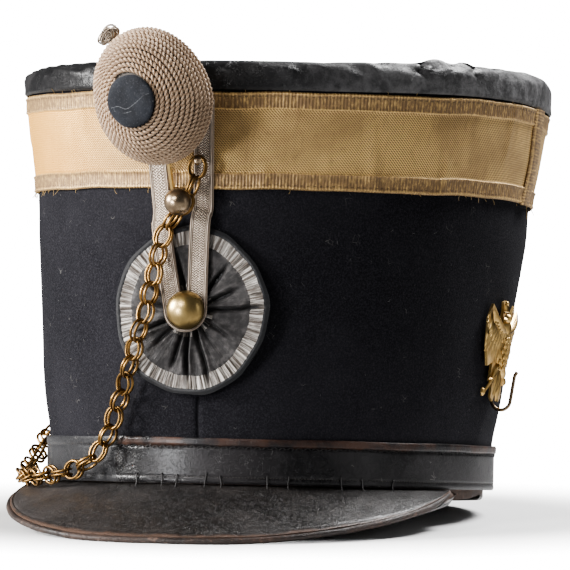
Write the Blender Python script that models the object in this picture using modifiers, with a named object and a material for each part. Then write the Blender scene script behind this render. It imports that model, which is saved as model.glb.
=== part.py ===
"""A peaked cloth shako with a gold braid, a wound field badge, a cockade and a hanging chain.

Metres, +Z up. Every piece is modelled in the hat frame: its origin is the middle of the
crown's lower edge, the peak points along -Y and the wearer's left is +X. One empty,
rest_frame, then stands the hat on its peak and on the back of its sweatband.
"""

import math

import bmesh
import bpy
from mathutils import Matrix, Vector

MM = 0.001
GAP = 0.3 * MM

# Crown, felt, measured on its outer face
CROWN_HEIGHT = 160.0 * MM
BASE_HALF_WIDTH = 84.3 * MM
BASE_HALF_LENGTH = 100.6 * MM
TOP_HALF_WIDTH = 99.6 * MM
TOP_HALF_LENGTH = 118.7 * MM
BASE_SET_BACK = 2.6 * MM
TOP_SET_BACK = 16.0 * MM
FELT_WALL = 2.4 * MM
SEGMENTS_AROUND = 40

# Columns: share of the crown's height, share of the way from base size to top size,
# share of the way from base set-back to top set-back
CROWN_SECTIONS = (
    {"height": 0.0, "spread": 0.0, "set_back": 0.0},
    {"height": 0.1125, "spread": 0.0, "set_back": 0.0},
    {"height": 0.25, "spread": 0.235, "set_back": 0.164},
    {"height": 0.5, "spread": 0.503, "set_back": 0.537},
    {"height": 0.625, "spread": 0.634, "set_back": 0.672},
    {"height": 0.696, "spread": 0.624, "set_back": 0.739},
    {"height": 0.8125, "spread": 0.824, "set_back": 0.896},
    {"height": 0.926, "spread": 0.993, "set_back": 0.978},
    {"height": 1.0, "spread": 1.0, "set_back": 1.0},
)

# The worn top edge rises and sinks a little: angle from the front towards the left,
# half-width of the wave, and height at the crown's top as a share of the crown's height
RIM_WAVES = (
    {"angle": 62.0, "width": 28.0, "rise": 0.010},
    {"angle": 114.0, "width": 24.0, "rise": -0.018},
)

# Leather top
CAP_WALL = 1.5 * MM
CAP_SKIRT = 11.0 * MM
CAP_SHOULDER = 5.0 * MM
CAP_RIM_WIDTH = 7.0 * MM
CAP_SINK = 1.4 * MM

# Gold braid, leather base band and sweatband
BRAID_LOW = 111.4 * MM
BRAID_WIDTH = 36.8 * MM
BRAID_THICKNESS = 1.0 * MM
BAND_HEIGHT = 17.2 * MM
BAND_THICKNESS = 1.2 * MM
SWEATBAND_TOP = 32.0 * MM
SWEATBAND_DROP = 4.6 * MM
SWEATBAND_THICKNESS = 1.2 * MM

# Peak
PEAK_CENTRE_Y = -50.0 * MM
PEAK_HALF_WIDTH = 84.0 * MM
PEAK_HALF_LENGTH = 96.0 * MM
PEAK_DROP = 20.3 * MM
PEAK_THICKNESS = 2.8 * MM
PEAK_SLOPE = 25.0
PEAK_BULGE = 1.6 * MM
PEAK_INNER_ANGLE = 73.5
PEAK_OUTER_ANGLE = 96.0
PEAK_FLAT_ANGLE = 20.0
PEAK_LIFT_POWER = 1.45
PEAK_COLUMNS = 28
PEAK_ROWS = 4

# Cockade: place on the crown, size and folds
COCKADE_ANGLE = -1.8
COCKADE_HEIGHT = 65.2 * MM
COCKADE_HALF_WIDTH = 30.6 * MM
COCKADE_HALF_HEIGHT = 32.0 * MM
COCKADE_WALL = 1.2 * MM
COCKADE_STAND_OFF = 0.8 * MM
COCKADE_FOLDS = 12
COCKADE_FOLD_HEIGHT = 1.3 * MM
COCKADE_BEND = 2.0 * MM
COCKADE_RISE = 1.3 * MM

# Columns: share of the radius, rise above the rim and fold depth as shares of the sizes above
COCKADE_RINGS = (
    {"radius": 1.0, "rise": 0.0, "fold": 0.0},
    {"radius": 0.96, "rise": 0.5, "fold": 0.0},
    {"radius": 0.80, "rise": 0.7, "fold": 0.15},
    {"radius": 0.74, "rise": 0.9, "fold": 0.9},
    {"radius": 0.45, "rise": 1.0, "fold": 1.0},
    {"radius": 0.20, "rise": 0.6, "fold": 0.2},
)
FOLD_PROFILE = (0.0, 1.0, 0.4)

# Lace loop: the centre line of its left strap and right strap, and the turn at the button
LOOP_WIDTH = 8.0 * MM
LOOP_THICKNESS = 1.0 * MM
LOOP_TOP = 145.0 * MM
LOOP_MIDDLE_HEIGHT = 98.0 * MM
LOOP_TURN_HEIGHT = 65.6 * MM
LOOP_TURN_RADIUS = 4.7 * MM
LOOP_LEFT_TOP_X = -20.0 * MM
LOOP_LEFT_MIDDLE_X = -14.9 * MM
LOOP_RIGHT_TOP_X = 1.4 * MM
LOOP_TURN_X = -4.1 * MM
LOOP_CLEARANCE_REACH = 4.0 * MM
LOOP_STATIONS = 12
LOOP_TURN_STATIONS = 6
LOOP_SEAT_REACH = 1.03

# Button, ball stud
BUTTON_RADIUS = 7.5 * MM
BUTTON_DOME = 6.4 * MM
BUTTON_RIM = 0.8 * MM
BUTTON_STEPS = 4
BUTTON_SEGMENTS = 16
STUD_ANGLE = -2.75
STUD_HEIGHT = 104.9 * MM
STUD_BALL_RADIUS = 5.2 * MM
STUD_SHANK_RADIUS = 0.8 * MM
STUD_STAND_OFF = 13.6 * MM
STUD_STEPS = 7
STUD_SEGMENTS = 14

# Wound field badge
BADGE_ANGLE = -6.6
BADGE_HEIGHT = 146.6 * MM
BADGE_STAND_OFF = 15.5 * MM
BADGE_HALF_WIDTH = 24.5 * MM
BADGE_HALF_HEIGHT = 26.4 * MM
BADGE_FRONT_DEPTH = 19.4 * MM
BADGE_BACK_DEPTH = 5.0 * MM
BADGE_TURN = 4.0
BADGE_NOD = 5.0
BADGE_SEGMENTS = 24
BADGE_STEPS = 6
VELVET_RADIUS = 10.0 * MM
VELVET_THICKNESS = 1.6 * MM
VELVET_SEGMENTS = 20
STEM_RADIUS = 0.9 * MM
STEM_SIDE = -0.3 * MM
STEM_FOOT_ANGLE = -6.5
STEM_FOOT_HEIGHT = 107.0 * MM
STEM_POINTS = 12
KNOT_ANGLE = 128.0
KNOT_HALF_WIDTH = 4.2 * MM
KNOT_HALF_HEIGHT = 2.3 * MM
KNOT_WIRE = 1.3 * MM
KNOT_TWIST = 1.2 * MM
KNOT_POINTS = 10

# Eagle fittings at the sides
EAGLE_HEIGHT = 40.0 * MM
EAGLE_WIDTH = 34.0 * MM
EAGLE_PLATE = 1.6 * MM
EAGLE_RELIEF = 4.6 * MM
EAGLE_SEAT = 1.0 * MM
EAGLE_CENTRE_HEIGHT = 54.0 * MM
EAGLE_LEFT_ANGLE = 87.5
EAGLE_RIGHT_ANGLE = -96.0
HOOK_WIRE = 0.6 * MM
HOOK_REACH = 9.0 * MM
HOOK_DROP = 22.5 * MM
HOOK_RISE = 14.0 * MM
HOOK_TURN_POINTS = 6
EYE_HEIGHT = 32.5 * MM
EYE_REACH = 5.2 * MM
EYE_HALF_WIDTH = 2.6 * MM

# Chain: paired rings, built here as one broad ring for each pair
LINK_PITCH = 7.4 * MM
LINK_WIRE = 1.1 * MM
LINK_WIDTH = 7.8 * MM
LINK_PAIR_WIDTH = 2.6 * MM
LINK_OVERLAP = 0.25 * MM
LINK_SIDES = 10
LINK_WIRE_SIDES = 5
LINKS_ABOVE_STUD = 2
LINKS_TO_TURN = 4
LINKS_FACING = 16.2  # degrees; the free links lie slanted on both sides of this direction
ROUTE_PIECES = 24
ROUTE_SAMPLES = 1200
PIN_RADIUS = 0.8 * MM
PIN_HEAD_RADIUS = 1.7 * MM
PIN_HEAD = 0.9 * MM
PIN_SEGMENTS = 10

# Chain's centre line: angle from the front, height in mm and stand-off from the felt in mm
CHAIN_ROUTE = (
    (0.6, 127.0, 7.0),
    (0.0, 117.5, 7.0),
    (-2.75, 104.9, 6.5),
    (-5.9, 97.5, 8.6),
    (-7.4, 88.5, 10.3),
    (-8.7, 78.0, 10.5),
    (-10.3, 66.5, 10.5),
    (-12.7, 54.5, 10.1),
    (-15.9, 42.5, 8.0),
    (-19.3, 31.5, 5.8),
    (-22.4, 21.0, 6.2),
    (-25.6, 11.6, 7.0),
    (-31.4, 5.0, 8.6),
    (-40.0, 2.3, 10.4),
    (-51.0, 1.2, 11.2),
    (-61.0, 1.5, 10.8),
    (-70.0, 3.8, 8.8),
    (-79.0, 8.8, 6.9),
    (-89.0, 17.0, 6.4),
    (-95.6, 26.0, 5.2),
    (-96.0, 33.5, 4.7),
)

COLORS = {
    "felt": ((0.012, 0.012, 0.016), 0.95, 0.0),
    "black_leather": ((0.018, 0.017, 0.017), 0.45, 0.0),
    "brown_leather": ((0.060, 0.035, 0.022), 0.55, 0.0),
    "gold_braid": ((0.48, 0.32, 0.12), 0.6, 0.2),
    "silver_lace": ((0.42, 0.36, 0.29), 0.6, 0.3),
    "silver_silk": ((0.30, 0.29, 0.28), 0.6, 0.1),
    "silver_cord": ((0.40, 0.32, 0.24), 0.6, 0.2),
    "velvet": ((0.016, 0.017, 0.022), 0.95, 0.0),
    "brass": ((0.72, 0.50, 0.20), 0.3, 1.0),
    "dark_brass": ((0.33, 0.27, 0.19), 0.4, 1.0),
}


def remove_all_objects():
    """Empty the scene, whatever it held before."""
    for item in list(bpy.data.objects):
        bpy.data.objects.remove(item, do_unlink=True)


def make_collection(name):
    """Return a new collection that is linked to the scene."""
    collection = bpy.data.collections.new(name)
    bpy.context.scene.collection.children.link(collection)
    return collection


def make_material(name, slot):
    """Return a Principled material with the colour, roughness and metallic value of a slot."""
    color, roughness, metallic = COLORS[slot]
    material = bpy.data.materials.new(name)
    material.use_nodes = True
    shader = material.node_tree.nodes["Principled BSDF"]
    shader.inputs["Base Color"].default_value = (*color, 1.0)
    shader.inputs["Roughness"].default_value = roughness
    shader.inputs["Metallic"].default_value = metallic
    return material


def crown_section(height):
    """Half-width, half-length and set-back of the felt's outer face at a height."""
    share = min(max(height / CROWN_HEIGHT, 0.0), 1.0)
    for low, high in zip(CROWN_SECTIONS, CROWN_SECTIONS[1:]):
        if share <= high["height"]:
            break
    part = (share - low["height"]) / (high["height"] - low["height"])
    spread = low["spread"] + part * (high["spread"] - low["spread"])
    back = low["set_back"] + part * (high["set_back"] - low["set_back"])
    half_width = BASE_HALF_WIDTH + spread * (TOP_HALF_WIDTH - BASE_HALF_WIDTH)
    half_length = BASE_HALF_LENGTH + spread * (TOP_HALF_LENGTH - BASE_HALF_LENGTH)
    set_back = BASE_SET_BACK + back * (TOP_SET_BACK - BASE_SET_BACK)
    return half_width, half_length, set_back


def rim_wave(angle):
    """Rise of the worn top edge at an angle in radians, at the crown's full height."""
    rise = 0.0
    for wave in RIM_WAVES:
        turn = math.degrees(angle) - wave["angle"]
        turn = (turn + 180.0) % 360.0 - 180.0
        rise += wave["rise"] * math.exp(-((turn / wave["width"]) ** 2))
    return rise * CROWN_HEIGHT


def crown_point(angle, height, offset=0.0):
    """Point at an angle from the front (towards +X) and an offset from the felt's outer face."""
    half_width, half_length, set_back = crown_section(height)
    lift = rim_wave(angle) * max(height / CROWN_HEIGHT, 0.0) ** 2
    return Vector((
        (half_width + offset) * math.sin(angle),
        set_back - (half_length + offset) * math.cos(angle),
        height + lift,
    ))


def crown_matrix(degrees, height, stand_off):
    """Frame on the felt: X to the viewer's right, Y up the wall and Z outwards."""
    angle = math.radians(degrees)
    step = 0.5 * MM
    centre = crown_point(angle, height)
    side = crown_point(angle + 0.01, height) - crown_point(angle - 0.01, height)
    rise = crown_point(angle, height + step) - crown_point(angle, height - step)
    outward = side.cross(rise).normalized()
    side.normalize()
    upward = outward.cross(side)
    rotation = Matrix((side, upward, outward)).transposed().to_4x4()
    return Matrix.Translation(centre + outward * stand_off) @ rotation


def section_heights(low, high):
    """Heights from low to high, with those of the crown's sections between them."""
    inside = [row["height"] * CROWN_HEIGHT for row in CROWN_SECTIONS]
    return [low] + [value for value in inside if low + GAP < value < high - GAP] + [high]


def sheet_mesh(name, columns, rows, place, closed=False, cap_last_row=False):
    """Mesh of a grid of quads that place(across, along) puts on a surface."""
    mesh = bpy.data.meshes.new(name)
    work = bmesh.new()
    bmesh.ops.create_grid(work, x_segments=columns, y_segments=rows, size=0.5)
    last = []
    for vertex in work.verts:
        across = round((vertex.co.x + 0.5) * columns)
        along = round((vertex.co.y + 0.5) * rows)
        if along == rows:
            last.append(vertex)
        vertex.co = place(across, along)
    if closed:
        bmesh.ops.remove_doubles(work, verts=list(work.verts), dist=0.001 * MM)
    if cap_last_row:
        last = [vertex for vertex in last if vertex.is_valid]
        edges = [edge for edge in work.edges if edge.is_boundary and all(v in last for v in edge.verts)]
        bmesh.ops.contextual_create(work, geom=edges)
    bmesh.ops.recalc_face_normals(work, faces=list(work.faces))
    work.to_mesh(mesh)
    work.free()
    return mesh


def add_object(name, mesh, collection, slot, parent=None, matrix=None):
    """Object with its own material, set in the hat frame."""
    item = bpy.data.objects.new(name, mesh)
    collection.objects.link(item)
    if slot:
        mesh.materials.clear()
        mesh.materials.append(make_material(name, slot))
    if parent:
        item.parent = parent
    if matrix:
        item.matrix_local = matrix
    return item


def thicken(item, thickness, side=-1.0):
    """Give an open surface a wall; side -1 lays the wall behind the faces."""
    solidify = item.modifiers.new("wall", "SOLIDIFY")
    solidify.thickness = thickness
    solidify.offset = side
    solidify.use_even_offset = True


def shade_round(mesh, degrees=40.0):
    """Smooth shading with sharp edges kept."""
    mesh.shade_smooth()
    mesh.set_sharp_from_angle(angle=math.radians(degrees))


def add_ring(name, collection, slot, parent, stations, thickness):
    """Closed band round the crown; a station is a height and an offset of its outer face."""
    def place(across, along):
        height, offset = stations[along]
        return crown_point(math.tau * across / SEGMENTS_AROUND, height, offset)

    mesh = sheet_mesh(name, SEGMENTS_AROUND, len(stations) - 1, place, closed=True)
    shade_round(mesh)
    item = add_object(name, mesh, collection, slot, parent)
    thicken(item, thickness)
    return item


def build_crown(collection, parent):
    """Felt body, a tube that is open at both ends."""
    top = CROWN_HEIGHT - CAP_SHOULDER - GAP
    stations = [(height, 0.0) for height in section_heights(GAP, top)]
    add_ring("crown_wall", collection, "felt", parent, stations, FELT_WALL)


def cap_outline():
    """Heights and inward shifts of the leather top's outer face, from the skirt to the middle."""
    outer = GAP + CAP_WALL
    low = CROWN_HEIGHT - CAP_SKIRT
    rows = [(low, outer), (CROWN_HEIGHT - CAP_SHOULDER, outer)]
    for step in (1, 2):
        turn = math.radians(45.0 * step)
        rows.append((
            CROWN_HEIGHT - CAP_SHOULDER * (1.0 - math.sin(turn)),
            outer - CAP_SHOULDER * (1.0 - math.cos(turn)),
        ))
    inner = outer - CAP_SHOULDER - CAP_RIM_WIDTH
    rows.append((CROWN_HEIGHT, inner))
    rows.append((CROWN_HEIGHT - CAP_SINK, inner - 2.0 * CAP_SINK))
    return rows


def build_cap(collection, parent):
    """Leather top: a turned-down rim, a round shoulder and a sunk flat disc."""
    rows = cap_outline()

    def place(across, along):
        height, offset = rows[along]
        point = crown_point(math.tau * across / SEGMENTS_AROUND, height, offset)
        if along == len(rows) - 1:
            point.z = height
        return point

    mesh = sheet_mesh("crown_top", SEGMENTS_AROUND, len(rows) - 1, place, closed=True, cap_last_row=True)
    shade_round(mesh)
    item = add_object("crown_top", mesh, collection, "black_leather", parent)
    thicken(item, CAP_WALL)


def build_bands(collection, parent):
    """Gold braid, leather base band and sweatband."""
    outer = GAP + BRAID_THICKNESS
    heights = section_heights(BRAID_LOW, BRAID_LOW + BRAID_WIDTH)
    add_ring("gold_braid", collection, "gold_braid", parent, [(h, outer) for h in heights], BRAID_THICKNESS)
    outer = GAP + BAND_THICKNESS
    heights = section_heights(0.0, BAND_HEIGHT)
    add_ring("base_band", collection, "black_leather", parent, [(h, outer) for h in heights], BAND_THICKNESS)
    outer = -FELT_WALL - GAP
    heights = [-SWEATBAND_DROP] + section_heights(0.0, SWEATBAND_TOP)[1:]
    add_ring("sweatband", collection, "brown_leather", parent, [(h, outer) for h in heights],
             SWEATBAND_THICKNESS)


def sweatband_back():
    """Lowest point at the back of the sweatband."""
    return crown_point(math.pi, -SWEATBAND_DROP, -FELT_WALL - GAP)


def rest_slope():
    """Slope of the floor in the hat frame, from the peak's front edge to the sweatband's back."""
    front_y = PEAK_CENTRE_Y - PEAK_HALF_LENGTH
    front_z = -PEAK_DROP - PEAK_THICKNESS * math.cos(math.radians(PEAK_SLOPE))
    back = sweatband_back()
    return (back.z - front_z) / (back.y - front_y)


def floor_rise(turn):
    """Rise of the floor below the peak's edge, from its front to a turn round its outline."""
    return rest_slope() * PEAK_HALF_LENGTH * (1.0 - math.cos(turn))


def peak_edge(share):
    """Point of the peak's outer edge, top side; share runs from -1 (right) to 1 (left)."""
    end = math.radians(PEAK_OUTER_ANGLE)
    turn = end * share
    beyond = max(abs(share) * PEAK_OUTER_ANGLE - PEAK_FLAT_ANGLE, 0.0)
    raised = (beyond / (PEAK_OUTER_ANGLE - PEAK_FLAT_ANGLE)) ** PEAK_LIFT_POWER
    end_lift = PEAK_DROP - GAP - floor_rise(end)
    return Vector((
        PEAK_HALF_WIDTH * math.sin(turn),
        PEAK_CENTRE_Y - PEAK_HALF_LENGTH * math.cos(turn),
        floor_rise(turn) + end_lift * raised - PEAK_DROP,
    ))


def peak_point(share, out):
    """Point of the peak's upper face; out runs from 0 at the crown to 1 at the edge."""
    seat = -FELT_WALL + GAP + PEAK_THICKNESS * math.sin(math.radians(PEAK_SLOPE))
    inner = crown_point(math.radians(PEAK_INNER_ANGLE * share), -GAP, seat)
    edge = peak_edge(share)
    bulge = PEAK_BULGE * 4.0 * out * (1.0 - out) * math.cos(share * math.pi / 2.0)
    return inner.lerp(edge, out) + Vector((0.0, 0.0, bulge))


def build_peak(collection, parent):
    """Leather peak, sewn under the crown's front edge."""
    def place(across, along):
        return peak_point(2.0 * across / PEAK_COLUMNS - 1.0, along / PEAK_ROWS)

    mesh = sheet_mesh("peak", PEAK_COLUMNS, PEAK_ROWS, place)
    if mesh.polygons[0].normal.z < 0.0:
        mesh.flip_normals()
    shade_round(mesh)
    item = add_object("peak", mesh, collection, "brown_leather", parent)
    thicken(item, PEAK_THICKNESS)


def cockade_matrix():
    """Frame of the cockade's rim, on its front face."""
    return crown_matrix(COCKADE_ANGLE, COCKADE_HEIGHT, COCKADE_STAND_OFF + COCKADE_WALL)


def cockade_rise(x, y, fold):
    """Height of the cockade's front face over its frame at a place on it."""
    reach = math.hypot(x / COCKADE_HALF_WIDTH, y / COCKADE_HALF_HEIGHT)
    rows = sorted(COCKADE_RINGS, key=lambda row: row["radius"])
    rise = rows[0]["rise"]
    depth = rows[0]["fold"]
    for low, high in zip(rows, rows[1:]):
        if low["radius"] <= reach:
            part = min((reach - low["radius"]) / (high["radius"] - low["radius"]), 1.0)
            rise = low["rise"] + part * (high["rise"] - low["rise"])
            depth = low["fold"] + part * (high["fold"] - low["fold"])
    bend = COCKADE_BEND * (x / COCKADE_HALF_WIDTH) ** 2
    return COCKADE_RISE * rise + COCKADE_FOLD_HEIGHT * depth * fold - bend


def build_cockade(collection, parent):
    """Gathered silk disc with twelve radial folds and a plain rim."""
    columns = COCKADE_FOLDS * len(FOLD_PROFILE)
    rows = len(COCKADE_RINGS) - 1

    def place(across, along):
        ring = COCKADE_RINGS[along]
        turn = math.tau * across / columns
        x = COCKADE_HALF_WIDTH * ring["radius"] * math.cos(turn)
        y = COCKADE_HALF_HEIGHT * ring["radius"] * math.sin(turn)
        fold = FOLD_PROFILE[across % len(FOLD_PROFILE)]
        return Vector((x, y, cockade_rise(x, y, fold)))

    mesh = sheet_mesh("cockade", columns, rows, place, closed=True, cap_last_row=True)
    if mesh.polygons[0].normal.z < 0.0:
        mesh.flip_normals()
    item = add_object("cockade", mesh, collection, "silver_silk", parent, cockade_matrix())
    thicken(item, COCKADE_WALL)


def front_face_y(x, height, offset):
    """Y of the felt's front at an x and a height, moved outwards by an offset."""
    half_width, half_length, set_back = crown_section(height)
    share = min(abs(x) / (half_width + offset), 0.99)
    return set_back - (half_length + offset) * math.sqrt(1.0 - share * share)


def under_loop_y(x, height):
    """Y of what lies under the lace loop: felt, braid or cockade."""
    offset = 0.0
    if BRAID_LOW - GAP < height < BRAID_LOW + BRAID_WIDTH + GAP:
        offset = GAP + BRAID_THICKNESS
    y = front_face_y(x, height, offset)
    frame = cockade_matrix().inverted() @ Vector((x, y, height))
    reach = math.hypot(frame.x / COCKADE_HALF_WIDTH, frame.y / COCKADE_HALF_HEIGHT)
    if reach < LOOP_SEAT_REACH:
        front = cockade_matrix() @ Vector((frame.x, frame.y, cockade_rise(frame.x, frame.y, 1.0)))
        y = min(y, front.y)
    return y


def loop_seat_y(x, height):
    """Y of the lace loop's back face, clear of all that lies under it."""
    reach = LOOP_CLEARANCE_REACH
    return min(under_loop_y(x, height + shift) for shift in (-reach, 0.0, reach)) - GAP


def loop_stations():
    """Centre line of the lace loop in the x and height plane, with its direction."""
    points = []
    left_turn = Vector((LOOP_TURN_X - LOOP_TURN_RADIUS, LOOP_TURN_HEIGHT))
    left_middle = Vector((LOOP_LEFT_MIDDLE_X, LOOP_MIDDLE_HEIGHT))
    left_top = Vector((LOOP_LEFT_TOP_X, LOOP_TOP))
    right_turn = Vector((LOOP_TURN_X + LOOP_TURN_RADIUS, LOOP_TURN_HEIGHT))
    right_top = Vector((LOOP_RIGHT_TOP_X, LOOP_TOP))
    half = LOOP_STATIONS // 2
    for step in range(half):
        points.append(left_top.lerp(left_middle, step / half))
    for step in range(half):
        points.append(left_middle.lerp(left_turn, step / half))
    for step in range(LOOP_TURN_STATIONS + 1):
        turn = math.pi * (1.0 + step / LOOP_TURN_STATIONS)
        points.append(Vector((
            LOOP_TURN_X + LOOP_TURN_RADIUS * math.cos(turn),
            LOOP_TURN_HEIGHT + LOOP_TURN_RADIUS * math.sin(turn),
        )))
    for step in range(1, LOOP_STATIONS + 1):
        points.append(right_turn.lerp(right_top, step / LOOP_STATIONS))
    return points


def build_loop(collection, parent):
    """Lace loop: down, round under the button and up again."""
    points = loop_stations()

    def place(across, along):
        before = points[max(along - 1, 0)]
        after = points[min(along + 1, len(points) - 1)]
        direction = (after - before).normalized()
        side = Vector((-direction.y, direction.x)) * LOOP_WIDTH / 2.0
        spot = points[along] + side * (2.0 * across - 1.0)
        return Vector((spot.x, loop_seat_y(spot.x, spot.y), spot.y))

    mesh = sheet_mesh("cockade_loop", 1, len(points) - 1, place)
    if mesh.polygons[0].normal.y > 0.0:
        mesh.flip_normals()
    item = add_object("cockade_loop", mesh, collection, "silver_lace", parent)
    thicken(item, LOOP_THICKNESS, side=1.0)


def turned_object(name, collection, slot, parent, matrix, outline, segments):
    """Solid turned about local Z; the outline runs down its outer side from the axis."""
    mesh = bpy.data.meshes.new(name)
    work = bmesh.new()
    verts = [work.verts.new((radius, 0.0, height)) for radius, height in outline]
    for first, second in zip(verts, verts[1:]):
        work.edges.new((first, second))
    work.to_mesh(mesh)
    work.free()
    item = add_object(name, mesh, collection, slot, parent, matrix)
    screw = item.modifiers.new("turn", "SCREW")
    screw.axis = "Z"
    screw.angle = math.tau
    screw.steps = segments
    screw.render_steps = segments
    screw.use_merge_vertices = True
    screw.merge_threshold = 0.00005
    screw.use_smooth_shade = True
    return item


def dome_outline(radius, height, steps):
    """Quarter ellipse from the axis at the top to the rim."""
    rows = []
    for step in range(steps + 1):
        turn = math.pi / 2.0 * step / steps
        rows.append((radius * math.sin(turn), height * math.cos(turn)))
    return rows


def build_button(collection, parent):
    """Domed brass button that closes the loop."""
    matrix = cockade_matrix()
    frame_spot = matrix.inverted() @ crown_point(math.radians(COCKADE_ANGLE), COCKADE_HEIGHT)
    lift = COCKADE_RISE + COCKADE_FOLD_HEIGHT + LOOP_THICKNESS + 2.0 * GAP
    place = matrix @ Matrix.Translation((frame_spot.x, frame_spot.y, lift))
    outline = [(r, h + BUTTON_RIM) for r, h in dome_outline(BUTTON_RADIUS, BUTTON_DOME, BUTTON_STEPS)]
    outline += [(BUTTON_RADIUS, 0.0), (0.0, 0.0)]
    turned_object("loop_button", collection, "brass", parent, place, outline, BUTTON_SEGMENTS)


def build_stud(collection, parent):
    """Small ball on a shank, which the chain hangs on."""
    matrix = crown_matrix(STUD_ANGLE, STUD_HEIGHT, GAP)
    centre = STUD_STAND_OFF - GAP
    outline = []
    neck = math.asin(STUD_SHANK_RADIUS / STUD_BALL_RADIUS)
    for step in range(STUD_STEPS + 1):
        turn = (math.pi - neck) * step / STUD_STEPS
        outline.append((STUD_BALL_RADIUS * math.sin(turn), centre + STUD_BALL_RADIUS * math.cos(turn)))
    outline += [(STUD_SHANK_RADIUS, 0.0), (0.0, 0.0)]
    turned_object("chain_stud", collection, "dark_brass", parent, matrix, outline, STUD_SEGMENTS)


def badge_matrix():
    """Frame of the wound badge: Z along its axis, out of its middle."""
    return (
        crown_matrix(BADGE_ANGLE, BADGE_HEIGHT, BADGE_STAND_OFF)
        @ Matrix.Rotation(math.radians(-BADGE_TURN), 4, "Y")
        @ Matrix.Rotation(math.radians(BADGE_NOD), 4, "X")
    )


def build_badge(collection, parent):
    """Wound cord dome with a velvet disc in the middle."""
    flat = VELVET_RADIUS + GAP
    full_depth = BADGE_FRONT_DEPTH / math.sqrt(1.0 - (flat / BADGE_HALF_WIDTH) ** 2)
    outline = [(0.0, BADGE_FRONT_DEPTH), (flat, BADGE_FRONT_DEPTH)]
    start = math.asin(flat / BADGE_HALF_WIDTH)
    for step in range(1, BADGE_STEPS + 1):
        turn = start + (math.pi / 2.0 - start) * step / BADGE_STEPS
        outline.append((BADGE_HALF_WIDTH * math.sin(turn), full_depth * math.cos(turn)))
    for step in (1, 2):
        turn = math.pi / 2.0 * step / 2.0
        outline.append((BADGE_HALF_WIDTH * math.cos(turn), -BADGE_BACK_DEPTH * math.sin(turn)))
    matrix = badge_matrix()
    item = turned_object("field_badge", collection, "silver_cord", parent, matrix, outline, BADGE_SEGMENTS)
    item.scale = (1.0, BADGE_HALF_HEIGHT / BADGE_HALF_WIDTH, 1.0)
    place = matrix @ Matrix.Translation((0.0, 0.0, BADGE_FRONT_DEPTH + GAP))
    outline = [(0.0, VELVET_THICKNESS), (0.8 * VELVET_RADIUS, 0.9 * VELVET_THICKNESS)]
    outline += [(VELVET_RADIUS, 0.4 * VELVET_THICKNESS), (VELVET_RADIUS, 0.0), (0.0, 0.0)]
    turned_object("badge_velvet", collection, "velvet", parent, place, outline, VELVET_SEGMENTS)


def curve_object(name, collection, slot, parent, points, radius, resolution=2, closed=False):
    """Wire along points, with filled ends."""
    data = bpy.data.curves.new(name, "CURVE")
    data.dimensions = "3D"
    data.bevel_depth = radius
    data.bevel_resolution = resolution
    data.use_fill_caps = True
    spline = data.splines.new("POLY")
    spline.points.add(len(points) - 1)
    for target, point in zip(spline.points, points):
        target.co = (*point, 1.0)
    spline.use_cyclic_u = closed
    item = bpy.data.objects.new(name, data)
    collection.objects.link(item)
    data.materials.append(make_material(name, slot))
    item.parent = parent
    return item


def smooth_route(points, count):
    """Evenly spaced points on a Catmull-Rom curve through the given points."""
    padded = [points[0] * 2.0 - points[1]] + list(points) + [points[-1] * 2.0 - points[-2]]
    fine = []
    for index in range(1, len(padded) - 2):
        before, first, second, after = padded[index - 1:index + 3]
        for step in range(ROUTE_PIECES):
            t = step / ROUTE_PIECES
            fine.append(0.5 * (
                2.0 * first
                + (second - before) * t
                + (2.0 * before - 5.0 * first + 4.0 * second - after) * t ** 2
                + (3.0 * first - before - 3.0 * second + after) * t ** 3
            ))
    fine.append(padded[-2].copy())
    lengths = [0.0]
    for first, second in zip(fine, fine[1:]):
        lengths.append(lengths[-1] + (second - first).length)
    result = []
    spot = 0
    for step in range(count):
        target = lengths[-1] * step / (count - 1)
        while spot < len(lengths) - 2 and lengths[spot + 1] < target:
            spot += 1
        part = (target - lengths[spot]) / (lengths[spot + 1] - lengths[spot])
        result.append(fine[spot].lerp(fine[spot + 1], part))
    return result, lengths[-1]


def build_stem(collection, parent):
    """Wire stem of the badge, tucked between the straps of the loop."""
    badge = badge_matrix()
    seat = badge @ Vector((0.0, 0.0, -BADGE_BACK_DEPTH - GAP - STEM_RADIUS))
    below = badge @ Vector((STEM_SIDE, -0.75 * BADGE_HALF_HEIGHT, -BADGE_BACK_DEPTH - GAP - STEM_RADIUS))
    foot_angle = math.radians(STEM_FOOT_ANGLE)
    foot = crown_point(foot_angle, STEM_FOOT_HEIGHT, STEM_RADIUS + GAP)
    over = crown_point(foot_angle, BRAID_LOW, GAP + BRAID_THICKNESS + GAP + 2.0 * STEM_RADIUS)
    points, _ = smooth_route([seat, below, over, foot], STEM_POINTS)
    curve_object("badge_stem", collection, "brass", parent, points, STEM_RADIUS, 1)


def build_knot(collection, parent):
    """Knot of bare cord ends at the badge's upper edge."""
    badge = badge_matrix()
    turn = math.radians(KNOT_ANGLE)
    edge = Vector((BADGE_HALF_WIDTH * math.cos(turn), BADGE_HALF_HEIGHT * math.sin(turn), 0.0))
    normal = Vector((edge.x / BADGE_HALF_WIDTH ** 2, edge.y / BADGE_HALF_HEIGHT ** 2, 0.0)).normalized()
    reach = math.hypot(KNOT_HALF_WIDTH * normal.x, KNOT_HALF_HEIGHT * normal.y)
    centre = edge + normal * (reach + KNOT_WIRE + GAP)
    points = []
    for step in range(KNOT_POINTS):
        around = math.tau * step / KNOT_POINTS
        points.append(badge @ (centre + Vector((
            KNOT_HALF_WIDTH * math.cos(around),
            KNOT_HALF_HEIGHT * math.sin(around),
            KNOT_TWIST * math.sin(2.0 * around),
        ))))
    curve_object("badge_knot", collection, "silver_cord", parent, points, KNOT_WIRE, 1, closed=True)


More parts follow.
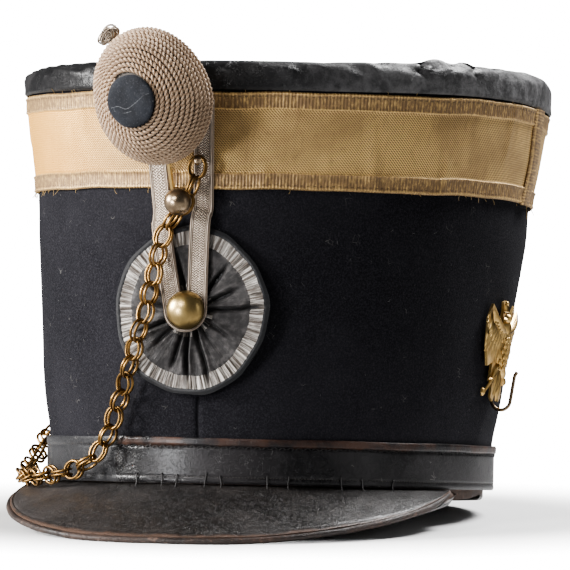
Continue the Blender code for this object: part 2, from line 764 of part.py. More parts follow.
# Outline of the spread eagle, right half from the crown's tip to the tail's, as shares of its
# half-width and half-height
EAGLE_OUTLINE = (
    {"x": 0.00, "y": 1.00},
    {"x": 0.20, "y": 0.97},
    {"x": 0.17, "y": 0.72},
    {"x": 0.24, "y": 0.50},
    {"x": 0.48, "y": 0.74},
    {"x": 0.80, "y": 0.92},
    {"x": 1.00, "y": 0.62},
    {"x": 0.94, "y": 0.10},
    {"x": 0.78, "y": -0.32},
    {"x": 0.50, "y": -0.22},
    {"x": 0.56, "y": -0.62},
    {"x": 0.34, "y": -0.50},
    {"x": 0.38, "y": -0.92},
    {"x": 0.22, "y": -1.00},
    {"x": 0.12, "y": -0.80},
    {"x": 0.00, "y": -0.80},
)

# Raised masses of the eagle: place, half-sizes and turn, as shares of half-width, half-height
# and relief
EAGLE_MASSES = (
    {"x": 0.00, "y": 0.00, "wide": 0.27, "tall": 0.42, "high": 1.00, "turn": 0.0},
    {"x": 0.00, "y": 0.58, "wide": 0.15, "tall": 0.20, "high": 0.85, "turn": 0.0},
    {"x": 0.58, "y": 0.28, "wide": 0.20, "tall": 0.52, "high": 0.72, "turn": 14.0},
    {"x": 0.00, "y": -0.52, "wide": 0.22, "tall": 0.28, "high": 0.62, "turn": 0.0},
)


def eagle_plate(collection, name):
    """Flat plate with the eagle's outline."""
    data = bpy.data.curves.new(name, "CURVE")
    data.dimensions = "2D"
    data.fill_mode = "BOTH"
    data.extrude = EAGLE_PLATE / 2.0
    half = [(row["x"], row["y"]) for row in EAGLE_OUTLINE]
    points = half + [(-x, y) for x, y in reversed(half[1:-1])]
    spline = data.splines.new("POLY")
    spline.points.add(len(points) - 1)
    for target, (x, y) in zip(spline.points, points):
        target.co = (x * EAGLE_WIDTH / 2.0, y * EAGLE_HEIGHT / 2.0, EAGLE_PLATE / 2.0, 1.0)
    spline.use_cyclic_u = True
    item = bpy.data.objects.new(name + "_curve", data)
    collection.objects.link(item)
    bpy.context.view_layer.update()
    graph = bpy.context.evaluated_depsgraph_get()
    mesh = bpy.data.meshes.new_from_object(item.evaluated_get(graph))
    bpy.data.objects.remove(item, do_unlink=True)
    work = bmesh.new()
    work.from_mesh(mesh)
    bmesh.ops.remove_doubles(work, verts=list(work.verts), dist=0.01 * MM)
    low = min(vertex.co.z for vertex in work.verts)
    bmesh.ops.translate(work, verts=list(work.verts), vec=(0.0, 0.0, -low))
    bmesh.ops.recalc_face_normals(work, faces=list(work.faces))
    work.to_mesh(mesh)
    work.free()
    return mesh


def eagle_masses():
    """Matrices of the raised masses, both wings counted."""
    result = []
    for row in EAGLE_MASSES:
        for side in ((1.0,) if row["x"] == 0.0 else (1.0, -1.0)):
            place = Matrix.Translation((
                side * row["x"] * EAGLE_WIDTH / 2.0,
                row["y"] * EAGLE_HEIGHT / 2.0,
                EAGLE_SEAT,
            ))
            turn = Matrix.Rotation(math.radians(-side * row["turn"]), 4, "Z")
            size = Matrix.Diagonal((
                row["wide"] * EAGLE_WIDTH / 2.0,
                row["tall"] * EAGLE_HEIGHT / 2.0,
                row["high"] * (EAGLE_RELIEF - EAGLE_SEAT),
                1.0,
            ))
            result.append(place @ turn @ size)
    return result


def dome_mesh(name, matrix):
    """Half an egg, closed below, put in place by a matrix."""
    work = bmesh.new()
    bmesh.ops.create_uvsphere(work, u_segments=10, v_segments=8, radius=1.0)
    below = [vertex for vertex in work.verts if vertex.co.z < -0.01]
    for vertex in below:
        vertex.co.z = max(vertex.co.z, -0.12)
    bmesh.ops.transform(work, matrix=matrix, verts=list(work.verts))
    bmesh.ops.recalc_face_normals(work, faces=list(work.faces))
    mesh = bpy.data.meshes.new(name)
    work.to_mesh(mesh)
    work.free()
    return mesh


def build_eagles(collection, cutters, parent):
    """Cast eagle fittings with raised body, head, wings and tail."""
    places = (("side_eagle_left", EAGLE_LEFT_ANGLE), ("side_eagle_right", EAGLE_RIGHT_ANGLE))
    masses = []
    for index, matrix in enumerate(eagle_masses()):
        masses.append(dome_mesh("eagle_mass_%d" % index, matrix))
    for name, degrees in places:
        matrix = crown_matrix(degrees, EAGLE_CENTRE_HEIGHT, GAP)
        item = add_object(name, eagle_plate(collection, name), collection, "brass", parent, matrix)
        for index, mesh in enumerate(masses):
            cutter = add_object("%s_mass_%d" % (name, index), mesh, cutters, None, parent, matrix)
            cutter.hide_render = True
            cutter.display_type = "WIRE"
            union = item.modifiers.new("mass", "BOOLEAN")
            union.operation = "UNION"
            union.solver = "EXACT"
            union.object = cutter


def hook_points(matrix):
    """J-shaped hook that starts in the notch of the tail and opens upwards."""
    foot = HOOK_WIRE + GAP
    radius = (HOOK_REACH - HOOK_WIRE - foot) / 2.0
    notch = EAGLE_OUTLINE[-1]["y"] * EAGLE_HEIGHT / 2.0
    points = [Vector((0.0, notch - foot, foot))]
    for step in range(HOOK_TURN_POINTS + 1):
        turn = math.pi * (1.0 + step / HOOK_TURN_POINTS)
        points.append(Vector((
            0.0,
            radius - HOOK_DROP + radius * math.sin(turn),
            foot + radius + radius * math.cos(turn),
        )))
    points.append(Vector((0.0, HOOK_RISE - HOOK_DROP, HOOK_REACH)))
    return [matrix @ point for point in points]


def eye_points(matrix):
    """Low wire eye below the right eagle, which holds the chain's end."""
    foot = HOOK_WIRE + GAP
    shape = (
        (-EYE_HALF_WIDTH, foot),
        (-EYE_HALF_WIDTH, 0.6 * EYE_REACH),
        (-0.7 * EYE_HALF_WIDTH, 0.9 * EYE_REACH),
        (0.0, EYE_REACH),
        (0.7 * EYE_HALF_WIDTH, 0.9 * EYE_REACH),
        (EYE_HALF_WIDTH, 0.6 * EYE_REACH),
        (EYE_HALF_WIDTH, foot),
    )
    return [matrix @ Vector((x, 0.0, reach)) for x, reach in shape]


def build_hooks(collection, parent):
    """Wire hook on the left fitting and wire eye on the right one."""
    left = crown_matrix(EAGLE_LEFT_ANGLE, EAGLE_CENTRE_HEIGHT, 0.0)
    curve_object("chain_hook_left", collection, "dark_brass", parent, hook_points(left), HOOK_WIRE, 1)
    right = crown_matrix(EAGLE_RIGHT_ANGLE, EYE_HEIGHT, 0.0)
    curve_object("chain_eye_right", collection, "dark_brass", parent, eye_points(right), HOOK_WIRE, 1)


def chain_joints():
    """Points where neighbouring links meet; the stud is in one link's middle, the eye at the end."""
    route = [crown_point(math.radians(a), h * MM, off * MM) for a, h, off in CHAIN_ROUTE]
    fine, length = smooth_route(route, ROUTE_SAMPLES)
    stud_line = crown_matrix(STUD_ANGLE, STUD_HEIGHT, 0.0)
    axis = stud_line.to_3x3().col[2]
    origin = stud_line.translation
    nearest = min(range(len(fine) // 3), key=lambda i: ((fine[i] - origin).cross(axis)).length)
    stud_at = length * nearest / (len(fine) - 1)
    below = round((length - stud_at) / LINK_PITCH - 0.5)
    pitch = (length - stud_at) / (below + 0.5)
    start = stud_at - (LINKS_ABOVE_STUD + 0.5) * pitch
    joints = []
    for step in range(LINKS_ABOVE_STUD + below + 2):
        at = (start + step * pitch) / length * (len(fine) - 1)
        low = min(max(int(at), 0), len(fine) - 2)
        joints.append(fine[low].lerp(fine[low + 1], at - low))
    return joints


def outward_at(point):
    """Direction away from the crown's axis at a point, level."""
    _, _, set_back = crown_section(point.z)
    direction = Vector((point.x, point.y - set_back, 0.0))
    return direction.normalized()


def link_roll(index, last, outward):
    """Turn of a link about the chain; flat on the stud, edge-on in the eye, slanted between."""
    end_turn = 0.0 if (last - LINKS_ABOVE_STUD) % 2 else -90.0
    from_stud = min(max(index - LINKS_ABOVE_STUD, 0) / LINKS_TO_TURN, 1.0)
    to_end = min((last - index) / LINKS_TO_TURN, 1.0)
    free = 45.0 + math.degrees(math.atan2(outward.x, -outward.y)) - LINKS_FACING
    slant = free * from_stud + (end_turn - free) * (1.0 - to_end)
    return math.radians(90.0 * (index - LINKS_ABOVE_STUD) + slant)


def link_frames():
    """Middle, length, direction, ring axis and side direction of each link."""
    joints = chain_joints()
    frames = []
    for index, (first, second) in enumerate(zip(joints, joints[1:])):
        middle = (first + second) / 2.0
        along = second - first
        reach = along.length
        along.normalize()
        normal = outward_at(middle)
        normal = (normal - along * normal.dot(along)).normalized()
        normal = Matrix.Rotation(link_roll(index, len(joints) - 2, normal), 3, along) @ normal
        frames.append((middle, reach, along, normal, normal.cross(along)))
    return frames


def link_matrices():
    """Place and size of each link: X along the chain, Z across the ring's plane."""
    result = []
    for middle, reach, along, normal, side in link_frames():
        turn = Matrix((along, side, normal)).transposed().to_4x4()
        size = Matrix.Diagonal((
            (reach + LINK_WIRE - LINK_OVERLAP) / (LINK_WIDTH - LINK_WIRE),
            1.0,
            LINK_PAIR_WIDTH / LINK_WIRE,
            1.0,
        ))
        result.append(Matrix.Translation(middle) @ turn @ size)
    return result


def build_pin(collection, parent):
    """Headed pin behind the badge, which holds the chain's first link."""
    middle, reach, along, normal, side = link_frames()[0]
    normal = normal * math.copysign(1.0, normal.dot(outward_at(middle)))
    inner_end = middle - along * (reach - LINK_OVERLAP) / 2.0
    centre = inner_end + along * (GAP + PIN_RADIUS)
    seat = min(loop_seat_y(centre.x, centre.z + shift) for shift in (-PIN_RADIUS, PIN_RADIUS))
    foot = (Vector((centre.x, seat, centre.z)) - centre).dot(normal) + LOOP_THICKNESS + GAP
    turn = Matrix((side, normal.cross(side), normal)).transposed().to_4x4()
    matrix = Matrix.Translation(centre) @ turn
    neck = LINK_PAIR_WIDTH / 2.0 + GAP
    outline = [(0.0, neck + PIN_HEAD), (0.6 * PIN_HEAD_RADIUS, neck + 0.8 * PIN_HEAD)]
    outline += [(PIN_HEAD_RADIUS, neck), (PIN_RADIUS, neck), (PIN_RADIUS, foot), (0.0, foot)]
    turned_object("chain_pin", collection, "dark_brass", parent, matrix, outline, PIN_SEGMENTS)


def build_chain(collection, cutters, parent):
    """Chain of interlocking links that are fused where they touch."""
    bpy.ops.mesh.primitive_torus_add(
        major_segments=LINK_SIDES,
        minor_segments=LINK_WIRE_SIDES,
        major_radius=(LINK_WIDTH - LINK_WIRE) / 2.0,
        minor_radius=LINK_WIRE / 2.0,
    )
    pattern = bpy.context.object
    halves = []
    for half in (0, 1):
        work = bmesh.new()
        for matrix in link_matrices()[half::2]:
            known = len(work.verts)
            work.from_mesh(pattern.data)
            work.verts.ensure_lookup_table()
            bmesh.ops.transform(work, matrix=matrix, verts=work.verts[known:])
        mesh = bpy.data.meshes.new("chain_half_%d" % half)
        work.to_mesh(mesh)
        work.free()
        halves.append(mesh)
    bpy.data.objects.remove(pattern, do_unlink=True)
    item = add_object("chain", halves[0], collection, "brass", parent)
    cutter = add_object("chain_other_links", halves[1], cutters, None, parent)
    cutter.hide_render = True
    cutter.display_type = "WIRE"
    union = item.modifiers.new("links", "BOOLEAN")
    union.operation = "UNION"
    union.solver = "EXACT"
    union.object = cutter


def stand_on_floor(rest, collection):
    """Tilt and shift the hat so that it stands on z = 0 with its box centred on the origin."""
    rest.rotation_euler = (-math.atan(rest_slope()), 0.0, 0.0)
    bpy.context.view_layer.update()
    graph = bpy.context.evaluated_depsgraph_get()
    low = Vector((math.inf,) * 3)
    high = Vector((-math.inf,) * 3)
    for item in collection.objects:
        if item.type == "EMPTY":
            continue
        shape = item.evaluated_get(graph)
        mesh = shape.to_mesh()
        for vertex in mesh.vertices:
            point = shape.matrix_world @ vertex.co
            low = Vector(map(min, low, point))
            high = Vector(map(max, high, point))
        shape.to_mesh_clear()
    rest.location = (-(low.x + high.x) / 2.0, -(low.y + high.y) / 2.0, -low.z)
    bpy.context.view_layer.update()


def main():
    """Build every piece and stand the hat on the floor."""
    remove_all_objects()
    collection = make_collection("shako")
    cutters = make_collection("cutters")
    rest = bpy.data.objects.new("rest_frame", None)
    collection.objects.link(rest)
    build_crown(collection, rest)
    build_cap(collection, rest)
    build_bands(collection, rest)
    build_peak(collection, rest)
    build_cockade(collection, rest)
    build_loop(collection, rest)
    build_button(collection, rest)
    build_stud(collection, rest)
    build_badge(collection, rest)
    build_stem(collection, rest)
    build_knot(collection, rest)
    build_eagles(collection, cutters, rest)
    build_hooks(collection, rest)
    build_chain(collection, cutters, rest)
    build_pin(collection, rest)
    stand_on_floor(rest, collection)


main()
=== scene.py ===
"""Dressed model of a peaked cloth shako: cloth, leather, braid, lace, cord and fittings.

Every piece is shaped in the hat frame, whose origin is the middle of the crown's lower edge,
with the peak along -Y and the wearer's left along +X. A piece is then stood on the floor
with its place in its mesh. Lengths are in metres.
"""

import logging
import math
from dataclasses import dataclass
from enum import Enum
from typing import Callable, Iterable, Iterator, Optional, Sequence

import bpy
import numpy as np
from mathutils import Matrix, Vector


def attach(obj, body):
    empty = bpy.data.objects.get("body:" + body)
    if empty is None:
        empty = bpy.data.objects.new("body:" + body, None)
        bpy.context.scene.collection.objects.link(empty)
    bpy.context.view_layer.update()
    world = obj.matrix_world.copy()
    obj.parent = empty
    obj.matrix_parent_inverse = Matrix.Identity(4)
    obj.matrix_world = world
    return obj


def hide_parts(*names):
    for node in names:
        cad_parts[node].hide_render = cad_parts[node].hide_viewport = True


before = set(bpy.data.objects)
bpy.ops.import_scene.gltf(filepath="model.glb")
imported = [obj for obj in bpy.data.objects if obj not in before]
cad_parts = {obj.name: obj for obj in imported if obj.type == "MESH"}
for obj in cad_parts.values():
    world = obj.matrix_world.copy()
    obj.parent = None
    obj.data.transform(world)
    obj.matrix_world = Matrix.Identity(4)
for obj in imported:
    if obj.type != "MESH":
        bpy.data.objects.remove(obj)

LOG = logging.getLogger("shako")
MM = 0.001
GAP = 0.3 * MM
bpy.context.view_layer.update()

# The hat stands on its peak and on the back of its sweatband
REST_TILT = math.radians(-4.231402)
REST_SHIFT = (0.0, -0.000144, 0.012057)
REST = Matrix.Translation(REST_SHIFT) @ Matrix.Rotation(REST_TILT, 4, "X")

Array = np.ndarray
Piece = bpy.types.Object
Socket = bpy.types.NodeSocket


# Form of the hat


@dataclass(frozen=True)
class CrownForm:
    """Oval, flaring form of the crown's outer face."""

    height: float = 160.0 * MM
    base_half_width: float = 84.3 * MM
    base_half_length: float = 100.6 * MM
    top_half_width: float = 99.6 * MM
    top_half_length: float = 118.7 * MM
    base_set_back: float = 2.6 * MM
    top_set_back: float = 16.0 * MM
    cloth: float = 2.4 * MM
    blend: float = 5.0 * MM
    levels: tuple = (0.0, 0.1125, 0.25, 0.5, 0.625, 0.696, 0.8125, 0.926, 1.0)
    spreads: tuple = (0.0, 0.0, 0.235, 0.503, 0.634, 0.624, 0.824, 0.993, 1.0)
    set_backs: tuple = (0.0, 0.0, 0.164, 0.537, 0.672, 0.739, 0.896, 0.978, 1.0)
    waves: tuple = ((62.0, 28.0, 0.010), (114.0, 24.0, -0.018))

    def section(self, height: Array) -> tuple:
        """Half-width, half-length and set-back at heights, softened over the blend length."""
        taps = [np.clip((height + shift * self.blend) / self.height, 0.0, 1.0) for shift in (-1, 0, 1)]
        spread = sum(np.interp(tap, self.levels, self.spreads) for tap in taps) / 3.0
        back = sum(np.interp(tap, self.levels, self.set_backs) for tap in taps) / 3.0
        half_width = self.base_half_width + spread * (self.top_half_width - self.base_half_width)
        half_length = self.base_half_length + spread * (self.top_half_length - self.base_half_length)
        return half_width, half_length, self.base_set_back + back * (self.top_set_back - self.base_set_back)

    def points(self, angle: Array, height: Array, offset: Array = 0.0) -> Array:
        """Points on the crown.

        Args:
            angle: angle from the front towards the wearer's left, in radians.
            height: height over the crown's lower edge.
            offset: distance outwards from the cloth.

        Returns:
            An array of points in the hat frame, three columns.
        """
        angle, height = np.asarray(angle, float), np.asarray(height, float)
        half_width, half_length, set_back = self.section(height)
        lift = np.zeros_like(angle * height)
        for centre, width, rise in self.waves:
            turn = (np.degrees(angle) - centre + 180.0) % 360.0 - 180.0
            lift = lift + rise * self.height * np.exp(-((turn / width) ** 2))
        lift = lift * np.maximum(height / self.height, 0.0) ** 2
        return np.stack(np.broadcast_arrays(
            (half_width + offset) * np.sin(angle),
            set_back - (half_length + offset) * np.cos(angle),
            height + lift,
        ), axis=-1)

    def point(self, degrees: float, height: float, offset: float = 0.0) -> Vector:
        """One point on the crown, at an angle in degrees."""
        return Vector(self.points(math.radians(degrees), height, offset))

    def frame(self, degrees: float, height: float, stand_off: float) -> Matrix:
        """Frame on the cloth: X to the side, Y up the wall and Z outwards."""
        step = 0.5 * MM
        side = self.point(degrees + 0.6, height) - self.point(degrees - 0.6, height)
        rise = self.point(degrees, height + step) - self.point(degrees, height - step)
        outward = side.cross(rise).normalized()
        side.normalize()
        turn = Matrix((side, outward.cross(side), outward)).transposed().to_4x4()
        return Matrix.Translation(self.point(degrees, height) + outward * stand_off) @ turn

    def girth(self) -> float:
        """Length round the crown at its base, used to scale cloth patterns."""
        return math.pi * (self.base_half_width + self.base_half_length)


FORM = CrownForm()


def ripple(first: Array, second: Array, seed: int, pitch: float, waves: int = 7) -> Array:
    """Soft unevenness between about -1 and 1.

    Args:
        first: one coordinate of the places, in metres.
        second: the other coordinate, in metres.
        seed: start of the random directions.
        pitch: usual length of a wave, in metres.
        waves: how many waves are laid over each other.

    Returns:
        An array of heights.
    """
    draw = np.random.default_rng(seed)
    total = 0.0
    for _ in range(waves):
        turn, size, shift = draw.uniform(0, math.tau), draw.uniform(0.6, 1.6), draw.uniform(0, math.tau)
        along = first * math.cos(turn) + second * math.sin(turn)
        total = total + np.sin(math.tau * along / (pitch * size) + shift)
    return total / math.sqrt(waves * 2.0)


def bell(value: Array, centre: float, width: float) -> Array:
    """Bell curve of height 1."""
    return np.exp(-(((value - centre) / width) ** 2))


def smooth_step(value: Array, low: float, high: float) -> Array:
    """Soft step from 0 at low to 1 at high."""
    share = np.clip((value - low) / (high - low), 0.0, 1.0)
    return share * share * (3.0 - 2.0 * share)


# Bench tools


def deselect() -> None:
    """Leave nothing selected."""
    for item in list(bpy.context.selected_objects):
        item.select_set(False)


def take(item: Piece) -> None:
    """Make an object the only selected one, and active."""
    deselect()
    item.select_set(True)
    bpy.context.view_layer.objects.active = item


def primitive(name: str, operator: Callable, **sizes: object) -> Piece:
    """Add a primitive.

    Args:
        name: name of the new piece.
        operator: operator of bpy.ops.mesh that adds it.
        **sizes: the operator's own settings.

    Returns:
        The new object.
    """
    deselect()
    operator(**sizes)
    item = bpy.context.object
    item.name = item.data.name = name
    return item


def in_edit_mode(item: Piece, *steps: Callable) -> None:
    """Run edit-mode steps on everything in a mesh."""
    take(item)
    bpy.ops.object.mode_set(mode="EDIT")
    bpy.ops.mesh.select_all(action="SELECT")
    for step in steps:
        step()
    bpy.ops.object.mode_set(mode="OBJECT")


def modify(item: Piece, kind: str, **settings: object) -> None:
    """Add a modifier with its settings and apply it."""
    take(item)
    modifier = item.modifiers.new(kind.lower(), kind)
    for name, value in settings.items():
        setattr(modifier, name, value)
    bpy.ops.object.modifier_apply(modifier=modifier.name)


def weld(item: Piece, distance: float = 0.01 * MM) -> None:
    """Merge doubled vertices and turn the faces outwards."""
    in_edit_mode(
        item,
        lambda: bpy.ops.mesh.remove_doubles(threshold=distance),
        lambda: bpy.ops.mesh.normals_make_consistent(inside=False),
    )


def wall(item: Piece, thickness: float, side: float = -1.0) -> None:
    """Give an open surface a wall; side -1 lays it behind the faces."""
    modify(item, "SOLIDIFY", thickness=thickness, offset=side, use_even_offset=True)


def coordinates(item: Piece) -> Array:
    """Vertex places of a mesh as an array of three columns."""
    places = np.empty(len(item.data.vertices) * 3)
    item.data.vertices.foreach_get("co", places)
    return places.reshape(-1, 3)


def put_coordinates(item: Piece, places: Array) -> None:
    """Move the vertices of a mesh to new places."""
    item.data.vertices.foreach_set("co", np.ascontiguousarray(places, float).ravel())
    item.data.update()


def new_ball(name: str, segments: int, rings: int, radius: float = 1.0) -> Piece:
    """Ball of a radius."""
    return primitive(name, bpy.ops.mesh.primitive_uv_sphere_add, segments=segments, ring_count=rings,
                     radius=radius)


def new_disc(name: str, vertices: int, radius: float = 1.0) -> Piece:
    """Flat disc of one face."""
    return primitive(name, bpy.ops.mesh.primitive_circle_add, vertices=vertices, radius=radius,
                     fill_type="NGON")


def repattern(item: Piece, change: Callable) -> None:
    """Change a piece's pattern, which reaches the function as two columns."""
    layer = item.data.uv_layers.active
    flat = np.empty(len(layer.data) * 2)
    layer.data.foreach_get("uv", flat)
    layer.data.foreach_set("uv", np.ascontiguousarray(change(flat.reshape(-1, 2))).ravel())


def cut_flat(name: str, columns: int, rows: int, width: float, height: float) -> Piece:
    """Flat piece of cloth or leather, cut to size, with its pattern in metres.

    Args:
        name: name of the piece.
        columns: faces along X.
        rows: faces along Y.
        width: size along X that the pattern runs over.
        height: size along Y that the pattern runs over.

    Returns:
        A grid that spans 0 to 1 along X and Y until it is shaped.
    """
    item = primitive(name, bpy.ops.mesh.primitive_grid_add, x_subdivisions=columns, y_subdivisions=rows,
                     size=1.0)
    repattern(item, lambda flat: flat * (width, height))
    put_coordinates(item, coordinates(item) + (0.5, 0.5, 0.0))
    return item


def shape(item: Piece, place: Callable[[Array, Array], Array]) -> None:
    """Lay a flat piece, whose X and Y run from 0 to 1, on a surface."""
    flat = coordinates(item)
    put_coordinates(item, place(flat[:, 0], flat[:, 1]))


def move(item: Piece, matrix: Matrix) -> Piece:
    """Move a mesh by a matrix and return its object."""
    item.data.transform(matrix)
    return item


def join(name: str, items: Sequence[Piece]) -> Piece:
    """Join several meshes into the first one and name it."""
    take(items[0])
    for item in items[1:]:
        item.select_set(True)
    bpy.ops.object.join()
    items[0].name = items[0].data.name = name
    return items[0]


def copies(name: str, pattern: Piece, matrices: Iterable[Matrix]) -> Piece:
    """One mesh with a copy of a pattern at each matrix; the pattern is used up.

    Args:
        name: name of the new piece.
        pattern: object that is repeated.
        matrices: place of each copy.

    Returns:
        The new object.
    """
    base = coordinates(pattern)
    faces = [tuple(face.vertices) for face in pattern.data.polygons]
    places, polygons = [], []
    for matrix in matrices:
        start = len(base) * len(places)
        array = np.array(matrix)
        places.append(base @ array[:3, :3].T + array[:3, 3])
        polygons.extend(tuple(index + start for index in face) for face in faces)
    mesh = bpy.data.meshes.new(name)
    mesh.from_pydata(np.concatenate(places).tolist(), [], polygons)
    bpy.data.objects.remove(pattern, do_unlink=True)
    item = bpy.data.objects.new(name, mesh)
    bpy.context.scene.collection.objects.link(item)
    return item


def wires(
    name: str,
    routes: Iterable[Array],
    radius: float,
    rounding: int = 1,
    closed: bool = False,
    taper: Optional[Array] = None,
) -> Piece:
    """Wires or threads along routes, as one mesh.

    Args:
        name: name of the new piece.
        routes: arrays of points, three columns each.
        radius: radius of the wire.
        rounding: bevel resolution; 1 gives six sides and 2 gives eight.
        closed: whether each route closes on itself.
        taper: share of the radius at each point, the same for every route.

    Returns:
        The new mesh object.
    """
    data = bpy.data.curves.new(name, "CURVE")
    data.dimensions = "3D"
    data.bevel_depth = radius
    data.bevel_resolution = rounding
    data.use_fill_caps = True
    for route in routes:
        spline = data.splines.new("POLY")
        spline.points.add(len(route) - 1)
        spline.points.foreach_set("co", np.column_stack([route, np.ones(len(route))]).ravel())
        if taper is not None:
            spline.points.foreach_set("radius", np.asarray(taper, float))
        spline.use_cyclic_u = closed
    item = bpy.data.objects.new(name, data)
    bpy.context.scene.collection.objects.link(item)
    take(item)
    bpy.ops.object.convert(target="MESH")
    item = bpy.context.object
    item.name = item.data.name = name
    return item


def unit(rows: Array) -> Array:
    """Rows of vectors brought to a length of 1."""
    return rows / np.linalg.norm(rows, axis=1)[:, None]


def distances(points: Array) -> Array:
    """Way along a line up to each of its points."""
    return np.concatenate([[0.0], np.cumsum(np.linalg.norm(np.diff(points, axis=0), axis=1))])


def walk(points: Array, count: int = 0, step: float = 0.0) -> Array:
    """Evenly spaced points on a line, either a count of them or one at every step."""
    lengths = distances(points)
    spots = np.arange(0.0, lengths[-1], step) if step else np.linspace(0.0, lengths[-1], count)
    return np.column_stack([np.interp(spots, lengths, column) for column in points.T])


def smooth_route(points: Sequence[Sequence[float]], count: int) -> Array:
    """Evenly spaced points on a smooth curve through given points.

    Args:
        points: the curve's own points.
        count: how many points come back.

    Returns:
        An array of points, three columns.
    """
    knots = np.asarray(points, float)
    padded = np.vstack([2.0 * knots[0] - knots[1], knots, 2.0 * knots[-1] - knots[-2]])
    share = np.linspace(0.0, 1.0, 25)[:-1, None]
    fine = []
    for index in range(1, len(padded) - 2):
        before, first, second, after = padded[index - 1:index + 3]
        fine.append(0.5 * (
            2.0 * first
            + (second - before) * share
            + (2.0 * before - 5.0 * first + 4.0 * second - after) * share ** 2
            + (3.0 * first - before - 3.0 * second + after) * share ** 3
        ))
    return walk(np.vstack(fine + [padded[-2]]), count)


def apply_matrix(matrix: Matrix, points: Array) -> Array:
    """Points moved by a matrix."""
    array = np.array(matrix)
    return points @ array[:3, :3].T + array[:3, 3]


# Node sketching


class Sketch:
    """Short words for the nodes of a material or of a node group."""

    def __init__(self, tree: bpy.types.NodeTree) -> None:
        """Keep the tree that nodes go into."""
        self.tree = tree

    def put(self, kind: str, values: Optional[dict] = None, **settings: object) -> bpy.types.Node:
        """Add a node.

        Args:
            kind: type of the node, without the leading ShaderNode.
            values: value or linked socket for each named or numbered input.
            **settings: the node's own settings.

        Returns:
            The new node.
        """
        node = self.tree.nodes.new("ShaderNode" + kind)
        for name, value in settings.items():
            setattr(node, name, value)
        self.feed(node, values or {})
        return node

    def feed(self, node: bpy.types.Node, values: dict) -> None:
        """Link or set a node's inputs."""
        for name, value in values.items():
            if isinstance(value, Socket):
                self.tree.links.new(value, node.inputs[name])
            else:
                node.inputs[name].default_value = value

    def math(self, operation: str, first: object, second: object = 0.0) -> Socket:
        """Result of a sum on two numbers or sockets."""
        return self.put("Math", {0: first, 1: second}, operation=operation).outputs[0]

    def times(self, first: object, second: object) -> Socket:
        """First times second."""
        return self.math("MULTIPLY", first, second)

    def plus(self, first: object, second: object) -> Socket:
        """First plus second."""
        return self.math("ADD", first, second)

    def less(self, first: object, second: object) -> Socket:
        """First less second."""
        return self.math("SUBTRACT", first, second)

    def inverse(self, value: object) -> Socket:
        """One less a value."""
        return self.math("SUBTRACT", 1.0, value)

    def most(self, first: object, second: object) -> Socket:
        """The larger of two."""
        return self.math("MAXIMUM", first, second)

    def size(self, value: object) -> Socket:
        """A value without its sign."""
        return self.math("ABSOLUTE", value)

    def mask(self, value: object, low: float, high: float) -> Socket:
        """Soft mask, 0 below low and 1 above high."""
        values = {"Value": value, "From Min": low, "From Max": high}
        return self.put("MapRange", values, interpolation_type="SMOOTHSTEP").outputs[0]

    def noise(self, where: object, scale: float, detail: float = 4.0, rough: float = 0.55) -> Socket:
        """Cloudy noise."""
        values = {"Vector": where, "Scale": scale, "Detail": detail, "Roughness": rough}
        return self.put("TexNoise", values).outputs["Fac"]

    def cells(self, where: object, scale: float, feature: str = "F1") -> Socket:
        """Distance to the nearest cell point or, with another feature, to the nearest edge."""
        return self.put("TexVoronoi", {"Vector": where, "Scale": scale}, feature=feature).outputs["Distance"]

    def blend(self, share: object, first: object, second: object) -> Socket:
        """Mix of two colours, which are triples or sockets."""
        first, second = (value if isinstance(value, Socket) else (*value, 1.0) for value in (first, second))
        return self.put("Mix", {0: share, 6: first, 7: second}, data_type="RGBA").outputs[2]

    def between(self, share: object, low: float, high: float) -> Socket:
        """Number that runs from low to high with a share from 0 to 1."""
        return self.put("MapRange", {"Value": share, "To Min": low, "To Max": high}).outputs[0]

    def place(self, source: str = "Object", scale: Sequence[float] = (1.0, 1.0, 1.0)) -> Socket:
        """Coordinates of the surface, stretched by a scale along each axis."""
        start = self.put("TexCoord").outputs[source]
        return self.put("Mapping", {"Vector": start, "Scale": scale}).outputs[0]

    def split(self, vector: object) -> Sequence[Socket]:
        """The three numbers of a vector."""
        return self.put("SeparateXYZ", {0: vector}).outputs

    def wave(self, value: object, pitch: float) -> Socket:
        """Ridges of a given pitch across a length, from -1 to 1."""
        return self.math("SINE", self.times(value, math.tau / pitch))

    def ridges(self, value: object, pitch: float) -> Socket:
        """The same ridges from 0 to 1."""
        return self.plus(self.times(self.wave(value, pitch), 0.5), 0.5)

    def stray(self, where: object, scale: float, amount: float, detail: float = 4.0) -> Socket:
        """Small shift both ways that makes a border ragged."""
        return self.times(self.less(self.noise(where, scale, detail), 0.5), amount)

    def soil(self, where: object, scale: float) -> object:
        """Stain and Spots, the two masks of the soil group."""
        return self.use(soil_group(), {"Vector": where, "Scale": scale}).outputs

    def lint(self, where: object, speck: float, amount: float) -> Socket:
        """Mask of the lint group."""
        return self.use(lint_group(), {"Vector": where, "Speck Size": speck, "Amount": amount}).outputs[0]

    def bump(self, height: object, depth: float, strength: float = 1.0) -> Socket:
        """Normal of a relief whose full height is a depth in metres."""
        return self.put("Bump", {"Height": height, "Distance": depth, "Strength": strength}).outputs[0]

    def use(self, group: bpy.types.NodeTree, values: dict) -> bpy.types.Node:
        """Place a node group with its own values."""
        node = self.tree.nodes.new("ShaderNodeGroup")
        node.node_tree = group
        self.feed(node, values)
        return node


